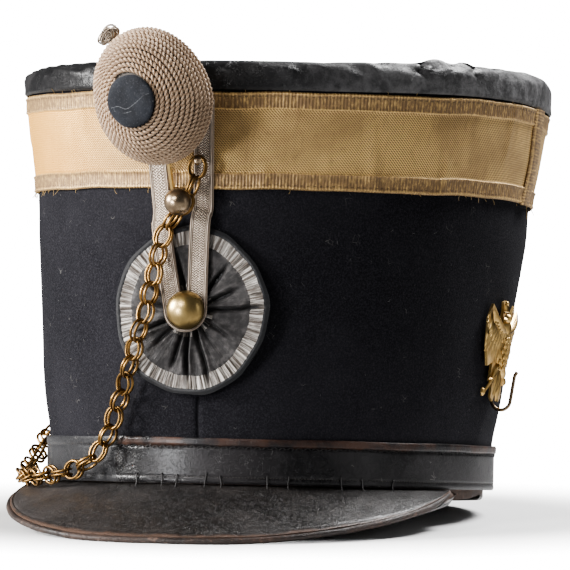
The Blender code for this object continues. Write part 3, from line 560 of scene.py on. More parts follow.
def effect_group(name: str, inputs: dict, outputs: Sequence[str], draw: Callable) -> bpy.types.NodeTree:
    """Build a shared effect once.

    Args:
        name: name of the group.
        inputs: default value of each input; a triple makes a vector.
        outputs: names of the outputs, all numbers.
        draw: function that gets the pen and the input sockets and returns the output sockets.

    Returns:
        The node group, made on the first call and found again on later ones.
    """
    known = bpy.data.node_groups.get(name)
    if known:
        return known
    tree = bpy.data.node_groups.new(name, "ShaderNodeTree")
    for label, value in inputs.items():
        kind = "NodeSocketVector" if isinstance(value, tuple) else "NodeSocketFloat"
        tree.interface.new_socket(label, in_out="INPUT", socket_type=kind).default_value = value
    for label in outputs:
        tree.interface.new_socket(label, in_out="OUTPUT", socket_type="NodeSocketFloat")
    start = tree.nodes.new("NodeGroupInput")
    end = tree.nodes.new("NodeGroupOutput")
    for label, socket in zip(outputs, draw(Sketch(tree), start.outputs)):
        tree.links.new(socket, end.inputs[label])
    return tree


def lint_group() -> bpy.types.NodeTree:
    """Specks and short pale hairs that cling to cloth."""
    def draw(pen: Sketch, given: object) -> list:
        """Specks where a cell's middle is near, hairs on thin warped lines."""
        where = given["Vector"]
        specks = pen.math("LESS_THAN", pen.cells(where, 260.0), given["Speck Size"])
        few = pen.mask(pen.noise(where, 90.0, 2.0), 0.56, 0.66)
        bent = pen.put("TexNoise", {"Vector": where, "Scale": 120.0, "Detail": 1.0}).outputs["Color"]
        shifted = pen.put("VectorMath", {0: where, 1: pen.put(
            "VectorMath", {0: bent, 3: 0.012}, operation="SCALE").outputs[0]}, operation="ADD").outputs[0]
        edge = pen.cells(shifted, 300.0, "DISTANCE_TO_EDGE")
        thin = pen.math("LESS_THAN", edge, 0.02)
        hairs = pen.times(thin, pen.mask(pen.noise(where, 130.0, 1.0), 0.705, 0.73))
        both = pen.most(pen.times(specks, few), hairs)
        return [pen.times(both, given["Amount"])]
    return effect_group("lint", {"Vector": (0.0, 0.0, 0.0), "Speck Size": 0.06, "Amount": 1.0}, ["Mask"],
                        draw)


def hide_group() -> bpy.types.NodeTree:
    """Grain, fine creases and scratches of worn leather."""
    def draw(pen: Sketch, given: object) -> list:
        """Pebbles from cells, creases from warped noise and scratches from stretched noise."""
        where, scale = given["Vector"], given["Scale"]
        pebble = pen.put("TexVoronoi", {"Vector": where, "Scale": scale},
                         feature="SMOOTH_F1").outputs["Distance"]
        crease = pen.put("TexNoise", {
            "Vector": where, "Scale": pen.times(scale, 0.16), "Detail": 8.0,
            "Roughness": 0.65, "Distortion": 1.4}).outputs["Fac"]
        lines = pen.size(pen.less(crease, 0.5))
        crease_mask = pen.inverse(pen.mask(lines, 0.0, 0.03))
        stretched = pen.put("Mapping", {"Vector": where, "Rotation": (0.3, 0.2, 0.6),
                                        "Scale": (1.0, 9.0, 5.0)})
        streak = pen.put("TexNoise", {
            "Vector": stretched.outputs[0], "Scale": pen.times(scale, 0.14), "Detail": 6.0,
            "Roughness": 0.7, "Distortion": 0.6}).outputs["Fac"]
        scratch = pen.mask(streak, 0.60, 0.66)
        height = pen.less(pen.times(pebble, 0.5), pen.times(crease_mask, 0.35))
        return [pen.plus(height, pen.times(crease, 0.8)), crease_mask, scratch]
    return effect_group("hide", {"Vector": (0.0, 0.0, 0.0), "Scale": 900.0}, ["Height", "Crease", "Scratch"],
                        draw)


def weave_group() -> bpy.types.NodeTree:
    """Diagonal twill of flat threads from a pattern in metres."""
    def draw(pen: Sketch, given: object) -> list:
        """Two sets of ridges that cross and lean."""
        across, along, _ = pen.split(given["Vector"])
        pitch, lean = given["Pitch"], given["Lean"]
        turned = pen.plus(across, pen.times(along, lean))
        ridge = pen.math("SINE", pen.math("DIVIDE", pen.times(turned, math.tau), pitch))
        pick = pen.math("SINE", pen.math("DIVIDE", pen.times(along, math.tau), pen.times(pitch, 0.8)))
        height = pen.plus(pen.times(ridge, 0.5), pen.times(pick, 0.22))
        return [pen.plus(pen.times(height, 0.6), 0.5)]
    return effect_group("weave", {"Vector": (0.0, 0.0, 0.0), "Pitch": 0.001, "Lean": 1.0}, ["Height"], draw)


def soil_group() -> bpy.types.NodeTree:
    """Broad stains and small worn spots."""
    def draw(pen: Sketch, given: object) -> list:
        """Stains from slow noise and spots from quick noise."""
        where, scale = given["Vector"], given["Scale"]
        slow = pen.put("TexNoise", {"Vector": where, "Scale": scale, "Detail": 5.0, "Roughness": 0.6})
        quick = pen.put("TexNoise", {
            "Vector": where, "Scale": pen.times(scale, 9.0), "Detail": 6.0, "Roughness": 0.7})
        return [pen.mask(slow.outputs["Fac"], 0.38, 0.66), pen.mask(quick.outputs["Fac"], 0.55, 0.70)]
    return effect_group("soil", {"Vector": (0.0, 0.0, 0.0), "Scale": 30.0}, ["Stain", "Spots"], draw)


# Finishes


@dataclass(frozen=True)
class Finish:
    """Base of every finish: its plain numbers, which sit on the shader's own sockets."""

    name: str
    metallic: float = 0.0
    sheen: float = 0.0
    coat: float = 0.0
    specular: float = 0.5
    sheen_rough: float = 0.4
    coat_rough: float = 0.25

    def draw(self, pen: Sketch) -> tuple:
        """Colour, roughness and normal sockets; each finish draws its own."""
        raise NotImplementedError

    def material(self) -> bpy.types.Material:
        """Build the material, or find it again."""
        label = "finish_" + self.name
        known = bpy.data.materials.get(label)
        if known:
            return known
        material = bpy.data.materials.new(label)
        material.use_nodes = True
        shader = material.node_tree.nodes["Principled BSDF"]
        pen = Sketch(material.node_tree)
        pen.feed(shader, {
            "Metallic": self.metallic, "Sheen Weight": self.sheen, "Sheen Roughness": self.sheen_rough,
            "Coat Weight": self.coat, "Coat Roughness": self.coat_rough, "Specular IOR Level": self.specular,
        })
        pen.feed(shader, dict(zip(("Base Color", "Roughness", "Normal"), self.draw(pen))))
        return material


@dataclass(frozen=True)
class WoolCloth(Finish):
    """Napped black-blue wool cloth with lint and a pressed crease at the front, darkened with painted shade.
    """

    deep: tuple = (0.0082, 0.0080, 0.0104)
    worn: tuple = (0.0165, 0.0160, 0.0196)
    nap: tuple = (0.040, 0.039, 0.045)
    lint: tuple = (0.16, 0.155, 0.145)

    def draw(self, pen: Sketch) -> tuple:
        """Colour, roughness and normal."""
        where = pen.place()
        across, depth, height = pen.split(where)
        soil = pen.soil(where, 16.0)
        flecks = pen.noise(where, 1500.0, 5.0, 0.75)
        fibres = pen.noise(pen.place(scale=(1.0, 1.0, 0.45)), 3200.0, 2.0)
        lint = pen.lint(where, 0.07, 0.45)
        color = pen.blend(soil["Stain"], self.deep, self.worn)
        color = pen.blend(pen.mask(flecks, 0.40, 0.78), color, self.nap)
        wander = pen.stray(where, 60.0, 0.004, 2.0)
        line = pen.size(pen.plus(across, wander))
        crease = pen.inverse(pen.mask(line, 0.0, 0.0011))
        crease = pen.times(crease, pen.math("LESS_THAN", height, 0.052))
        crease = pen.times(crease, pen.math("LESS_THAN", depth, 0.0))
        # Painted shade: the pressed crease is darkened towards black.
        color = pen.blend(pen.times(crease, 0.8), color, (0.002, 0.002, 0.003))
        color = pen.blend(lint, color, self.lint)
        relief = pen.plus(pen.times(fibres, 0.6), flecks)
        relief = pen.less(relief, crease)
        return color, pen.between(flecks, 0.98, 0.82), pen.bump(relief, 0.35 * MM, 0.75)


@dataclass(frozen=True)
class WornLeather(Finish):
    """Leather with grain, creases, scratches and scuffed colour."""

    deep: tuple = (0.0065, 0.0065, 0.0075)
    worn: tuple = (0.024, 0.023, 0.024)
    scuff: tuple = (0.11, 0.11, 0.115)
    scuff_amount: float = 0.5
    smooth: float = 0.30
    rough: float = 0.62
    grain: float = 900.0
    depth: float = 0.30 * MM

    def draw(self, pen: Sketch) -> tuple:
        """Colour, roughness and normal."""
        where = pen.place()
        hide = pen.use(hide_group(), {"Vector": where, "Scale": self.grain}).outputs
        soil = pen.soil(where, 38.0)
        color = pen.blend(soil["Stain"], self.deep, self.worn)
        rubbed = pen.times(soil["Spots"], self.scuff_amount)
        rubbed = pen.most(rubbed, pen.times(hide["Scratch"], self.scuff_amount * 0.6))
        color = pen.blend(rubbed, color, self.scuff)
        color = pen.blend(pen.times(hide["Crease"], 0.6), color, self.deep)
        color, rubbed = self.wear(pen, color, rubbed)
        roughness = pen.between(pen.most(soil["Stain"], rubbed), self.smooth, self.rough)
        return color, roughness, pen.bump(hide["Height"], self.depth, 0.8)

    def wear(self, pen: Sketch, color: object, rubbed: object) -> tuple:
        """Colour and rubbed mask with the wear that only one piece has."""
        return color, rubbed


@dataclass(frozen=True)
class BandLeather(WornLeather):
    """Base band: brown rubbed rim above, shining middle, and a dull cloth-like side."""

    rim: tuple = (0.082, 0.040, 0.026)
    dull: tuple = (0.016, 0.016, 0.018)
    rim_low: float = 13.7 * MM
    dull_from: float = -0.034

    def wear(self, pen: Sketch, color: object, rubbed: object) -> tuple:
        """Brown rim, with its pattern read across the band, and the dull side."""
        _, across, _ = pen.split(pen.place("UV"))
        where = pen.place()
        side = pen.split(where)[0]
        ragged = pen.stray(where, 160.0, 0.0035)
        rim = pen.mask(pen.plus(across, ragged), self.rim_low, self.rim_low + 0.8 * MM)
        patchy = pen.mask(pen.noise(where, 70.0, 5.0), 0.38, 0.62)
        dull = pen.math("LESS_THAN", pen.plus(side, ragged), self.dull_from)
        rim = pen.times(pen.times(rim, patchy), pen.inverse(dull))
        color = pen.blend(pen.times(rim, 0.85), color, self.rim)
        flecks = pen.mask(pen.noise(where, 800.0, 6.0, 0.75), 0.45, 0.8)
        cloth = pen.blend(flecks, self.dull, (0.06, 0.06, 0.062))
        lint = pen.lint(where, 0.09, 1.0)
        color = pen.blend(dull, color, cloth)
        color = pen.blend(pen.times(lint, 0.7), color, (0.3, 0.29, 0.27))
        return color, pen.most(rubbed, pen.most(rim, dull))


@dataclass(frozen=True)
class TopLeather(WornLeather):
    """Leather top: black, with a painted grey sheen on its rim towards the wearer's left."""

    painted_sheen: tuple = (0.155, 0.152, 0.155)
    painted_sheen_from: float = 0.010
    painted_sheen_to: float = 0.090
    rim_end: float = 25.0 * MM

    def wear(self, pen: Sketch, color: object, rubbed: object) -> tuple:
        """Patchy painted sheen that grows along the rim, with the rim read across the piece."""
        where = pen.place()
        side = pen.split(where)[0]
        inward = pen.split(pen.place("UV"))[1]
        on_rim = pen.inverse(pen.mask(inward, self.rim_end - 9.0 * MM, self.rim_end))
        # Painted sheen: patchy grey on the rim towards +X, where the rim catches the light.
        share = pen.times(pen.mask(side, self.painted_sheen_from, self.painted_sheen_to), on_rim)
        patchy = pen.mask(pen.noise(where, 130.0, 8.0, 0.75), 0.38, 0.64)
        painted_sheen = pen.times(share, pen.between(patchy, 0.25, 1.0))
        return pen.blend(painted_sheen, color, self.painted_sheen), pen.most(rubbed, painted_sheen)


@dataclass(frozen=True)
class PeakLeather(WornLeather):
    """Peak: brown scratched leather, rubbed brown towards its edge."""

    edge: tuple = (0.105, 0.060, 0.040)
    pale_grey: tuple = (0.085, 0.074, 0.070)

    def wear(self, pen: Sketch, color: object, rubbed: object) -> tuple:
        """Rubbed edge, with its pattern read from the crown outwards."""
        _, out, _ = pen.split(pen.place("UV"))
        where = pen.place()
        ragged = pen.stray(where, 130.0, 0.10, 5.0)
        near = pen.mask(pen.plus(out, ragged), 0.955, 1.0)
        wrinkles = pen.noise(pen.place("UV", (105.0, 8.0, 1.0)), 1.0, 7.0, 0.72)
        color = pen.blend(pen.times(pen.mask(wrinkles, 0.52, 0.68), 0.30), color, self.scuff)
        color = pen.blend(pen.times(pen.mask(wrinkles, 0.48, 0.36), 0.55), color, self.deep)
        # Paler grey in patches towards -X.
        pale_side = pen.inverse(pen.mask(pen.split(where)[0], -0.085, -0.010))
        pale_side = pen.times(pale_side, pen.between(pen.noise(where, 90.0, 7.0, 0.7), 0.15, 0.85))
        color = pen.blend(pale_side, color, self.pale_grey)
        color = pen.blend(pen.times(near, 0.9), color, self.edge)
        return color, pen.most(pen.most(rubbed, near), pen.mask(wrinkles, 0.44, 0.6))


@dataclass(frozen=True)
class GoldBraid(Finish):
    """Woven gold braid: twill middle, browned borders and bright edge lines."""

    bright: tuple = (0.95, 0.69, 0.34)
    middle: tuple = (0.83, 0.56, 0.232)
    key_lit_tone: tuple = (0.85, 0.41, 0.055)
    dark: tuple = (0.120, 0.069, 0.026)
    stain: tuple = (0.245, 0.145, 0.068)
    border: tuple = (0.275, 0.175, 0.088)
    shadow: tuple = (0.118, 0.070, 0.036)
    width: float = 36.8 * MM
    border_width: float = 6.6 * MM

    def draw(self, pen: Sketch) -> tuple:
        """Colour, roughness and normal."""
        flat = pen.place("UV")
        where = pen.place()
        along, across, _ = pen.split(flat)
        weave = pen.use(weave_group(), {"Vector": flat, "Pitch": 1.05 * MM, "Lean": 0.9}).outputs[0]
        soil = pen.soil(where, 27.0)
        worn = pen.mask(pen.noise(pen.place("UV", (1.0, 0.16, 1.0)), 260.0, 6.0, 0.7), 0.50, 0.72)
        streaks = pen.noise(pen.place("UV", (1.0, 0.35, 1.0)), 900.0, 4.0, 0.7)
        color = pen.blend(pen.mask(weave, 0.14, 0.60), self.dark, self.middle)
        color = pen.blend(pen.mask(weave, 0.62, 0.90), color, self.bright)
        color = pen.blend(pen.times(soil["Stain"], 0.55), color, self.stain)
        color = pen.blend(pen.times(worn, 0.42), color, self.stain)
        color = pen.blend(pen.times(soil["Spots"], 0.22), color, self.dark)
        # Painted light: towards -X, the side the key light falls on, the braid gets a warmer, more saturated
        # gold.
        key_lit_tone = pen.inverse(pen.mask(pen.split(where)[0], -0.085, -0.015))
        color = pen.blend(pen.times(key_lit_tone, 0.68), color, self.key_lit_tone)
        middle = pen.size(pen.less(across, self.width / 2.0))
        half = self.width / 2.0
        in_border = pen.mask(middle, half - self.border_width, half - self.border_width + 0.4 * MM)
        hatch = pen.ridges(along, 1.2 * MM)
        browned = pen.blend(pen.mask(streaks, 0.44, 0.74), self.border, self.middle)
        browned = pen.blend(pen.times(hatch, 0.42), browned, self.shadow)
        color = pen.blend(in_border, color, browned)
        for line in (half - 0.7 * MM, half - self.border_width + 0.3 * MM):
            near = pen.size(pen.less(middle, line))
            thread = pen.inverse(pen.mask(near, 0.15 * MM, 0.5 * MM))
            thread = pen.times(thread, pen.mask(pen.noise(where, 900.0, 3.0, 0.7), 0.30, 0.62))
            color = pen.blend(pen.times(thread, 0.7), color, self.middle)
        row = pen.size(pen.less(middle, half - 1.7 * MM))
        stitch = pen.times(pen.math("LESS_THAN", row, 0.24 * MM),
                           pen.math("GREATER_THAN", pen.wave(along, 2.3 * MM), 0.1))
        color = pen.blend(pen.times(stitch, 0.75), color, self.shadow)
        relief = pen.blend(in_border, weave, pen.times(hatch, 0.6))
        return color, pen.between(weave, 0.62, 0.42), pen.bump(relief, 0.32 * MM, 0.8)


@dataclass(frozen=True)
class SilverLace(Finish):
    """Woven silver lace: chevrons between fine edge ribs."""

    bright: tuple = (0.95, 0.81, 0.68)
    middle: tuple = (0.64, 0.525, 0.42)
    dark: tuple = (0.19, 0.143, 0.108)
    width: float = 8.0 * MM
    edge: float = 1.7 * MM

    def draw(self, pen: Sketch) -> tuple:
        """Colour, roughness and normal."""
        across, along, _ = pen.split(pen.place("UV"))
        where = pen.place()
        folded = pen.math("PINGPONG", across, 0.72 * MM)
        chevron = pen.ridges(pen.plus(along, pen.times(folded, 1.1)), 0.95 * MM)
        rib = pen.ridges(across, 0.55 * MM)
        middle = pen.size(pen.less(across, self.width / 2.0))
        at_edge = pen.math("GREATER_THAN", middle, self.width / 2.0 - self.edge)
        relief = pen.blend(at_edge, chevron, rib)
        soil = pen.soil(where, 60.0)
        color = pen.blend(pen.mask(relief, 0.15, 0.75), self.dark, self.middle)
        color = pen.blend(pen.mask(relief, 0.6, 0.95), color, self.bright)
        color = pen.blend(pen.times(soil["Spots"], 0.35), color, self.dark)
        return color, pen.between(relief, 0.65, 0.40), pen.bump(relief, 0.40 * MM, 0.95)


@dataclass(frozen=True)
class CockadeSilk(Finish):
    """Gathered black silk with a silver ring, read by the turn and the share of the radius."""

    silk: tuple = (0.0320, 0.0298, 0.0298)
    silk_light: tuple = (0.088, 0.081, 0.080)
    silver: tuple = (0.62, 0.59, 0.55)
    silver_dark: tuple = (0.095, 0.078, 0.066)
    rim: tuple = (0.014, 0.0145, 0.0160)
    painted_fold_shade: tuple = (0.0030, 0.0028, 0.0028)
    ring_in: float = 0.775
    ring_out: float = 0.935
    heart: float = 0.315

    def draw(self, pen: Sketch) -> tuple:
        """Colour, roughness and normal."""
        where = pen.place()
        pattern = pen.place("UV")
        turn, share, _ = pen.split(pattern)
        pleats = pen.noise(pen.place("UV", (150.0, 1.3, 1.0)), 1.0, 5.0, 0.75)
        broad = pen.noise(pen.place("UV", (26.0, 0.8, 1.0)), 1.0, 2.0)
        ragged = pen.stray(where, 260.0, 0.035)
        spot = pen.plus(share, ragged)
        silver = pen.blend(pen.mask(pleats, 0.44, 0.60), self.silver_dark, self.silver)
        silver = pen.blend(pen.times(pen.mask(broad, 0.50, 0.62), 0.45), silver, self.silver_dark)
        cloth = pen.blend(pen.mask(pen.noise(where, 420.0, 5.0), 0.4, 0.75), self.silk, self.silk_light)
        ring = pen.math("GREATER_THAN", spot, self.ring_in)
        outside = pen.math("GREATER_THAN", pen.plus(share, pen.times(ragged, 0.3)), self.ring_out)
        heart = pen.times(pen.math("LESS_THAN", spot, self.heart), pen.mask(broad, 0.42, 0.5))
        color = pen.blend(pen.most(ring, heart), cloth, silver)
        ribs = pen.ridges(turn, 1.0 / 420.0)
        edging = pen.blend(ribs, self.rim, (0.042, 0.042, 0.045))
        color = pen.blend(outside, color, edging)
        # Painted shade in the depths of the folds, read from the fold_shade attribute.
        shade = pen.put("Attribute", attribute_name="fold_shade").outputs["Fac"]
        color = pen.blend(pen.times(shade, 0.92), color, self.painted_fold_shade)
        threads = pen.times(pen.noise(where, 2400.0, 2.0), 0.15)
        relief = pen.blend(outside, pen.plus(pleats, threads), pen.times(ribs, 0.4))
        return color, pen.between(pleats, 0.68, 0.42), pen.bump(relief, 0.45 * MM, 0.7)


@dataclass(frozen=True)
class CordThread(Finish):
    """Twisted or spun thread with fine fibres and a little soil."""

    bright: tuple = (0.56, 0.46, 0.36)
    dark: tuple = (0.17, 0.125, 0.09)
    fibre: float = 5200.0
    depth: float = 0.10 * MM

    def draw(self, pen: Sketch) -> tuple:
        """Colour, roughness and normal."""
        where = pen.place()
        fibres = pen.noise(where, self.fibre, 3.0, 0.7)
        soil = pen.soil(where, 45.0)
        color = pen.blend(pen.mask(fibres, 0.32, 0.62), self.dark, self.bright)
        color = pen.blend(pen.times(soil["Stain"], 0.35), color, self.dark)
        return color, pen.between(fibres, 0.75, 0.45), pen.bump(fibres, self.depth, 0.7)


@dataclass(frozen=True)
class BlackVelvet(Finish):
    """Rubbed dark velvet with a painted highlight on its pile."""

    deep: tuple = (0.0048, 0.0058, 0.0095)
    worn: tuple = (0.0125, 0.0150, 0.0215)

    def draw(self, pen: Sketch) -> tuple:
        """Colour, roughness and normal."""
        where = pen.place()
        pile_and_highlight = pen.noise(where, 1500.0, 5.0, 0.75)
        soil = pen.soil(where, 110.0)
        lint = pen.lint(where, 0.08, 0.6)
        color = pen.blend(soil["Stain"], self.deep, self.worn)
        # Painted highlight on the raised pile.
        color = pen.blend(pen.mask(pile_and_highlight, 0.54, 0.72), color, (0.060, 0.065, 0.076))
        color = pen.blend(lint, color, (0.30, 0.29, 0.27))
        return color, pen.between(pile_and_highlight, 0.9, 0.6), pen.bump(pile_and_highlight, 0.25 * MM, 0.7)


@dataclass(frozen=True)
class OldBrass(Finish):
    """Brass with worn bright places, dark hollows and small pits."""

    metallic: float = 1.0
    bright: tuple = (0.83, 0.60, 0.27)
    dull: tuple = (0.47, 0.32, 0.13)
    hollow: tuple = (0.085, 0.055, 0.025)
    smooth: float = 0.20
    rough: float = 0.42
    hollows: float = 1.0
    soil: float = 70.0

    def draw(self, pen: Sketch) -> tuple:
        """Colour, roughness and normal."""
        where = pen.place()
        soil = pen.soil(where, self.soil)
        point = pen.put("NewGeometry").outputs["Pointiness"]
        deep = pen.inverse(pen.mask(point, 0.42, 0.50))
        color = pen.blend(soil["Stain"], self.bright, self.dull)
        color = pen.blend(pen.times(soil["Spots"], 0.4), color, self.dull)
        color = pen.blend(pen.times(deep, self.hollows), color, self.hollow)
        pits = pen.noise(where, 1300.0, 3.0)
        share = pen.most(soil["Stain"], pen.times(deep, self.hollows))
        return color, pen.between(share, self.smooth, self.rough), pen.bump(pits, 0.06 * MM, 0.5)


@dataclass(frozen=True)
class StudioFloor(Finish):
    """Pale floor that melts into the pale background."""

    pale: tuple = (0.93, 0.93, 0.93)
    inner: float = 0.115
    outer: float = 0.25
    bounce: float = 0.28

    def draw(self, pen: Sketch) -> tuple:
        """Colour, roughness and normal; its edge also fades out before the camera."""
        where = pen.place(scale=(1.0, 1.0, 0.0))
        reach = pen.put("VectorMath", {0: where}, operation="LENGTH").outputs["Value"]
        solid = pen.inverse(pen.mask(reach, self.inner, self.outer))
        seen = pen.put("LightPath").outputs["Is Camera Ray"]
        shader = pen.tree.nodes["Principled BSDF"]
        unseen = pen.times(pen.inverse(seen), self.bounce)
        pen.tree.links.new(pen.most(solid, unseen), shader.inputs["Alpha"])
        color = pen.blend(solid, self.pale, self.pale)
        return color, pen.between(solid, 0.9, 0.9), pen.bump(solid, 0.0)


class Slot(Enum):
    """Material slots of the record."""

    FELT = "felt"
    BLACK_LEATHER = "black_leather"
    BROWN_LEATHER = "brown_leather"
    GOLD_BRAID = "gold_braid"
    SILVER_LACE = "silver_lace"
    SILVER_SILK = "silver_silk"
    SILVER_CORD = "silver_cord"
    VELVET = "velvet"
    BRASS = "brass"
    DARK_BRASS = "dark_brass"


def hand_over(
    item: Piece,
    finish: Finish,
    slot: Slot,
    *nodes: str,
    sharp: float = 50.0,
) -> Piece:
    """Dress a finished piece and hand it to the frame.

    Args:
        item: the piece, with its place in its mesh in the hat frame.
        finish: its finish.
        slot: the record's slot; not used.
        *nodes: CAD nodes that it stands for.
        sharp: edges steeper than this many degrees stay sharp.

    Returns:
        The same object.
    """
    move(item, REST)
    item.data.materials.clear()
    item.data.materials.append(finish.material())
    take(item)
    bpy.ops.object.shade_smooth_by_angle(angle=math.radians(sharp))
    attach(item, "root")
    if nodes:
        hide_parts(*nodes)
    LOG.info("%s: %d faces", item.name, len(item.data.polygons))
    return item


# Crown: cloth, leather top, braid, base band and sweatband


@dataclass
class Crown:
    """Cloth body with its leather top, gold braid, base band and sweatband."""

    form: CrownForm = FORM
    columns: int = 300
    cloth_rows: int = 60
    cap_wall: float = 1.5 * MM
    cap_skirt: float = 11.0 * MM
    cap_shoulder: float = 5.0 * MM
    cap_rim: float = 7.0 * MM
    cap_sink: float = 1.4 * MM
    braid_low: float = 111.4 * MM
    braid_width: float = 36.8 * MM
    braid_thickness: float = 1.0 * MM
    braid_end: float = 92.5
    band_height: float = 17.2 * MM
    band_thickness: float = 1.2 * MM
    rim_height: float = 3.4 * MM
    sweat_top: float = 32.0 * MM
    sweat_drop: float = 4.6 * MM
    sweat_thickness: float = 1.2 * MM
    zigzag_row: tuple = (-23.0, 1.03, 250)
    stitch_row: tuple = (-20.0, 0.78, 420)
    lint_hairs: int = 110

    def build(self) -> None:
        """Build and hand over every piece of the crown."""
        self.build_cloth()
        self.build_top()
        self.build_braid()
        self.build_braid_end()
        self.build_frays()
        self.build_band()
        self.build_sweatband()
        self.build_lint()

    def ring(self, name: str, rows: int, height: float, place: Callable, columns: int = 0) -> Piece:
        """Closed ring round the crown, with its seam at the back.

        Args:
            name: name of the piece.
            rows: faces up its width.
            height: width of the strip, for its pattern.
            place: gets angle and share of the width and returns points.
            columns: faces round it; the usual number if left at 0.

        Returns:
            The ring as an open surface.
        """
        item = cut_flat(name, columns or self.columns, rows, self.form.girth(), height)
        shape(item, lambda x, y: place(math.tau * (x - 0.5), y))
        weld(item)
        return item

    def build_cloth(self) -> None:
        """Cloth body, a little uneven, with the pressed crease at the front."""
        top = self.form.height - self.cap_shoulder - GAP

        def place(angle: Array, share: Array) -> Array:
            """Cloth surface; its columns lie closer together at the front."""
            angle = angle - 0.55 * np.sin(angle)
            height = GAP + share * (top - GAP)
            around = angle * self.form.base_half_length
            free = smooth_step(height, self.band_height, 30 * MM)
            free = free * (1 - smooth_step(height, 100 * MM, 110 * MM))
            uneven = 0.45 * MM * free * ripple(around, height, 3, 60 * MM)
            crease = 0.5 * MM * bell(around, 0.0, 1.3 * MM) * (1 - smooth_step(height, 30 * MM, 44 * MM))
            return self.form.points(angle, height, uneven - crease)

        item = self.ring("crown_cloth", self.cloth_rows, top, place)
        wall(item, self.form.cloth)
        hand_over(item, WoolCloth("wool_cloth", specular=0.10), Slot.FELT, "crown_wall")

    def top_profile(self) -> tuple:
        """Heights and inward shifts of the leather top's outer face, from the skirt to the middle."""
        outer = GAP + self.cap_wall
        low = self.form.height - self.cap_skirt
        turns = np.radians(np.linspace(0.0, 90.0, 9))
        heights = [low - 0.2 * MM, low + 0.8 * MM, low + 3.0 * MM]
        offsets = [outer - 0.5 * MM, outer + 0.3 * MM, outer]
        heights += list(self.form.height - self.cap_shoulder * (1.0 - np.sin(turns)))
        offsets += list(outer - self.cap_shoulder * (1.0 - np.cos(turns)))
        inner = outer - self.cap_shoulder - self.cap_rim
        heights += [self.form.height + 0.1 * MM, self.form.height - 0.3 * MM,
                    self.form.height - self.cap_sink]
        offsets += [inner + 3.0 * MM, inner, inner - 2.0 * self.cap_sink]
        return np.array(heights), np.array(offsets)

    def build_top(self) -> None:
        """Leather top with a rolled rim, cracks, a torn flap and a sunk disc."""
        heights, offsets = self.top_profile()
        edge_rows, disc_rows = 30, 14
        count = len(heights)

        def place(angle: Array, share: Array) -> Array:
            """Rolled rim on the lower rows, flat disc on the upper ones."""
            row = share * (edge_rows + disc_rows)
            on_edge = np.minimum(row, edge_rows) / edge_rows * (count - 1)
            height = np.interp(on_edge, np.arange(count), heights)
            offset = np.interp(on_edge, np.arange(count), offsets)
            inward = np.clip((row - edge_rows) / disc_rows, 0.0, 1.0)
            degrees = np.degrees(angle)
            around = angle * self.form.top_half_width
            profile = on_edge / (count - 1)
            rough = ripple(around, profile * 0.03, 11, 14 * MM) * 0.38 * MM
            rough = rough + ripple(around, profile * 0.03, 12, 55 * MM) * 0.55 * MM
            folds = 0.0
            for centre, lean, width, depth in (
                (48.5, -2.5, 0.6, 2.0), (50.6, 2.0, 0.4, 1.2), (62.0, -5.5, 0.8, 2.0), (56.0, 3.0, 0.35, 0.9),
                (71.0, 2.5, 0.5, 0.9), (39.0, 2.0, 0.4, 0.6), (-58.0, 1.5, 0.5, 0.5), (84.0, -2.0, 0.6, 0.9),
            ):
                spot = centre + lean * (profile - 0.5) + 0.8 * np.sin(profile * 17.0 + centre)
                folds = folds + depth * MM * bell(degrees, spot, width) * bell(profile, 0.55, 0.32)
            flap = 2.3 * MM * bell(degrees, 52.5, 3.2) * bell(profile, 0.68, 0.13)
            flap = flap + 1.2 * MM * bell(degrees, 60.5, 2.4) * bell(profile, 0.66, 0.10)
            settle = (2.2 * bell(degrees, 97.0, 26.0) - 1.3 * bell(degrees, -62.0, 30.0)) * MM
            free = smooth_step(profile, 0.05, 0.3)
            points = self.form.points(angle, height, offset + (rough - folds) * free)
            points[:, 2] += (flap + 0.5 * rough + settle) * free * (1.0 - inward)
            middle = np.array([0.0, self.form.top_set_back, self.form.height - self.cap_sink])
            points[:, 2] = np.where(inward > 0.0, middle[2], points[:, 2])
            points += (middle - points) * inward[:, None]
            points[:, 2] += 0.35 * MM * ripple(points[:, 0], points[:, 1], 21, 48 * MM) * (inward > 0.0)
            return points

        item = self.ring("leather_top", edge_rows + disc_rows, 40 * MM, place, 420)
        wall(item, self.cap_wall)
        finish = TopLeather("top_leather", deep=(0.0060, 0.0060, 0.0068), worn=(0.020, 0.019, 0.020),
                            coat=0.12,
                            scuff=(0.075, 0.072, 0.074), scuff_amount=0.40, smooth=0.38, rough=0.68,
                            depth=0.32 * MM, specular=0.3)
        hand_over(item, finish, Slot.BLACK_LEATHER, "crown_top")

    def braid_relief(self, share: Array) -> Array:
        """Height of the braid's borders over its middle, by share of its width."""
        across = np.minimum(share, 1.0 - share) * self.braid_width
        border = 0.45 * MM * (1.0 - smooth_step(across, 6.0 * MM, 6.7 * MM))
        lines = 0.35 * MM * (bell(across, 0.7 * MM, 0.5 * MM) + bell(across, 6.1 * MM, 0.45 * MM))
        return border + lines - 0.35 * MM * (1.0 - smooth_step(across, 0.0, 0.4 * MM))

    def build_braid(self) -> None:
        """Gold braid with raised borders, puckers and a slack middle."""
        outer = GAP + self.braid_thickness - 0.35 * MM

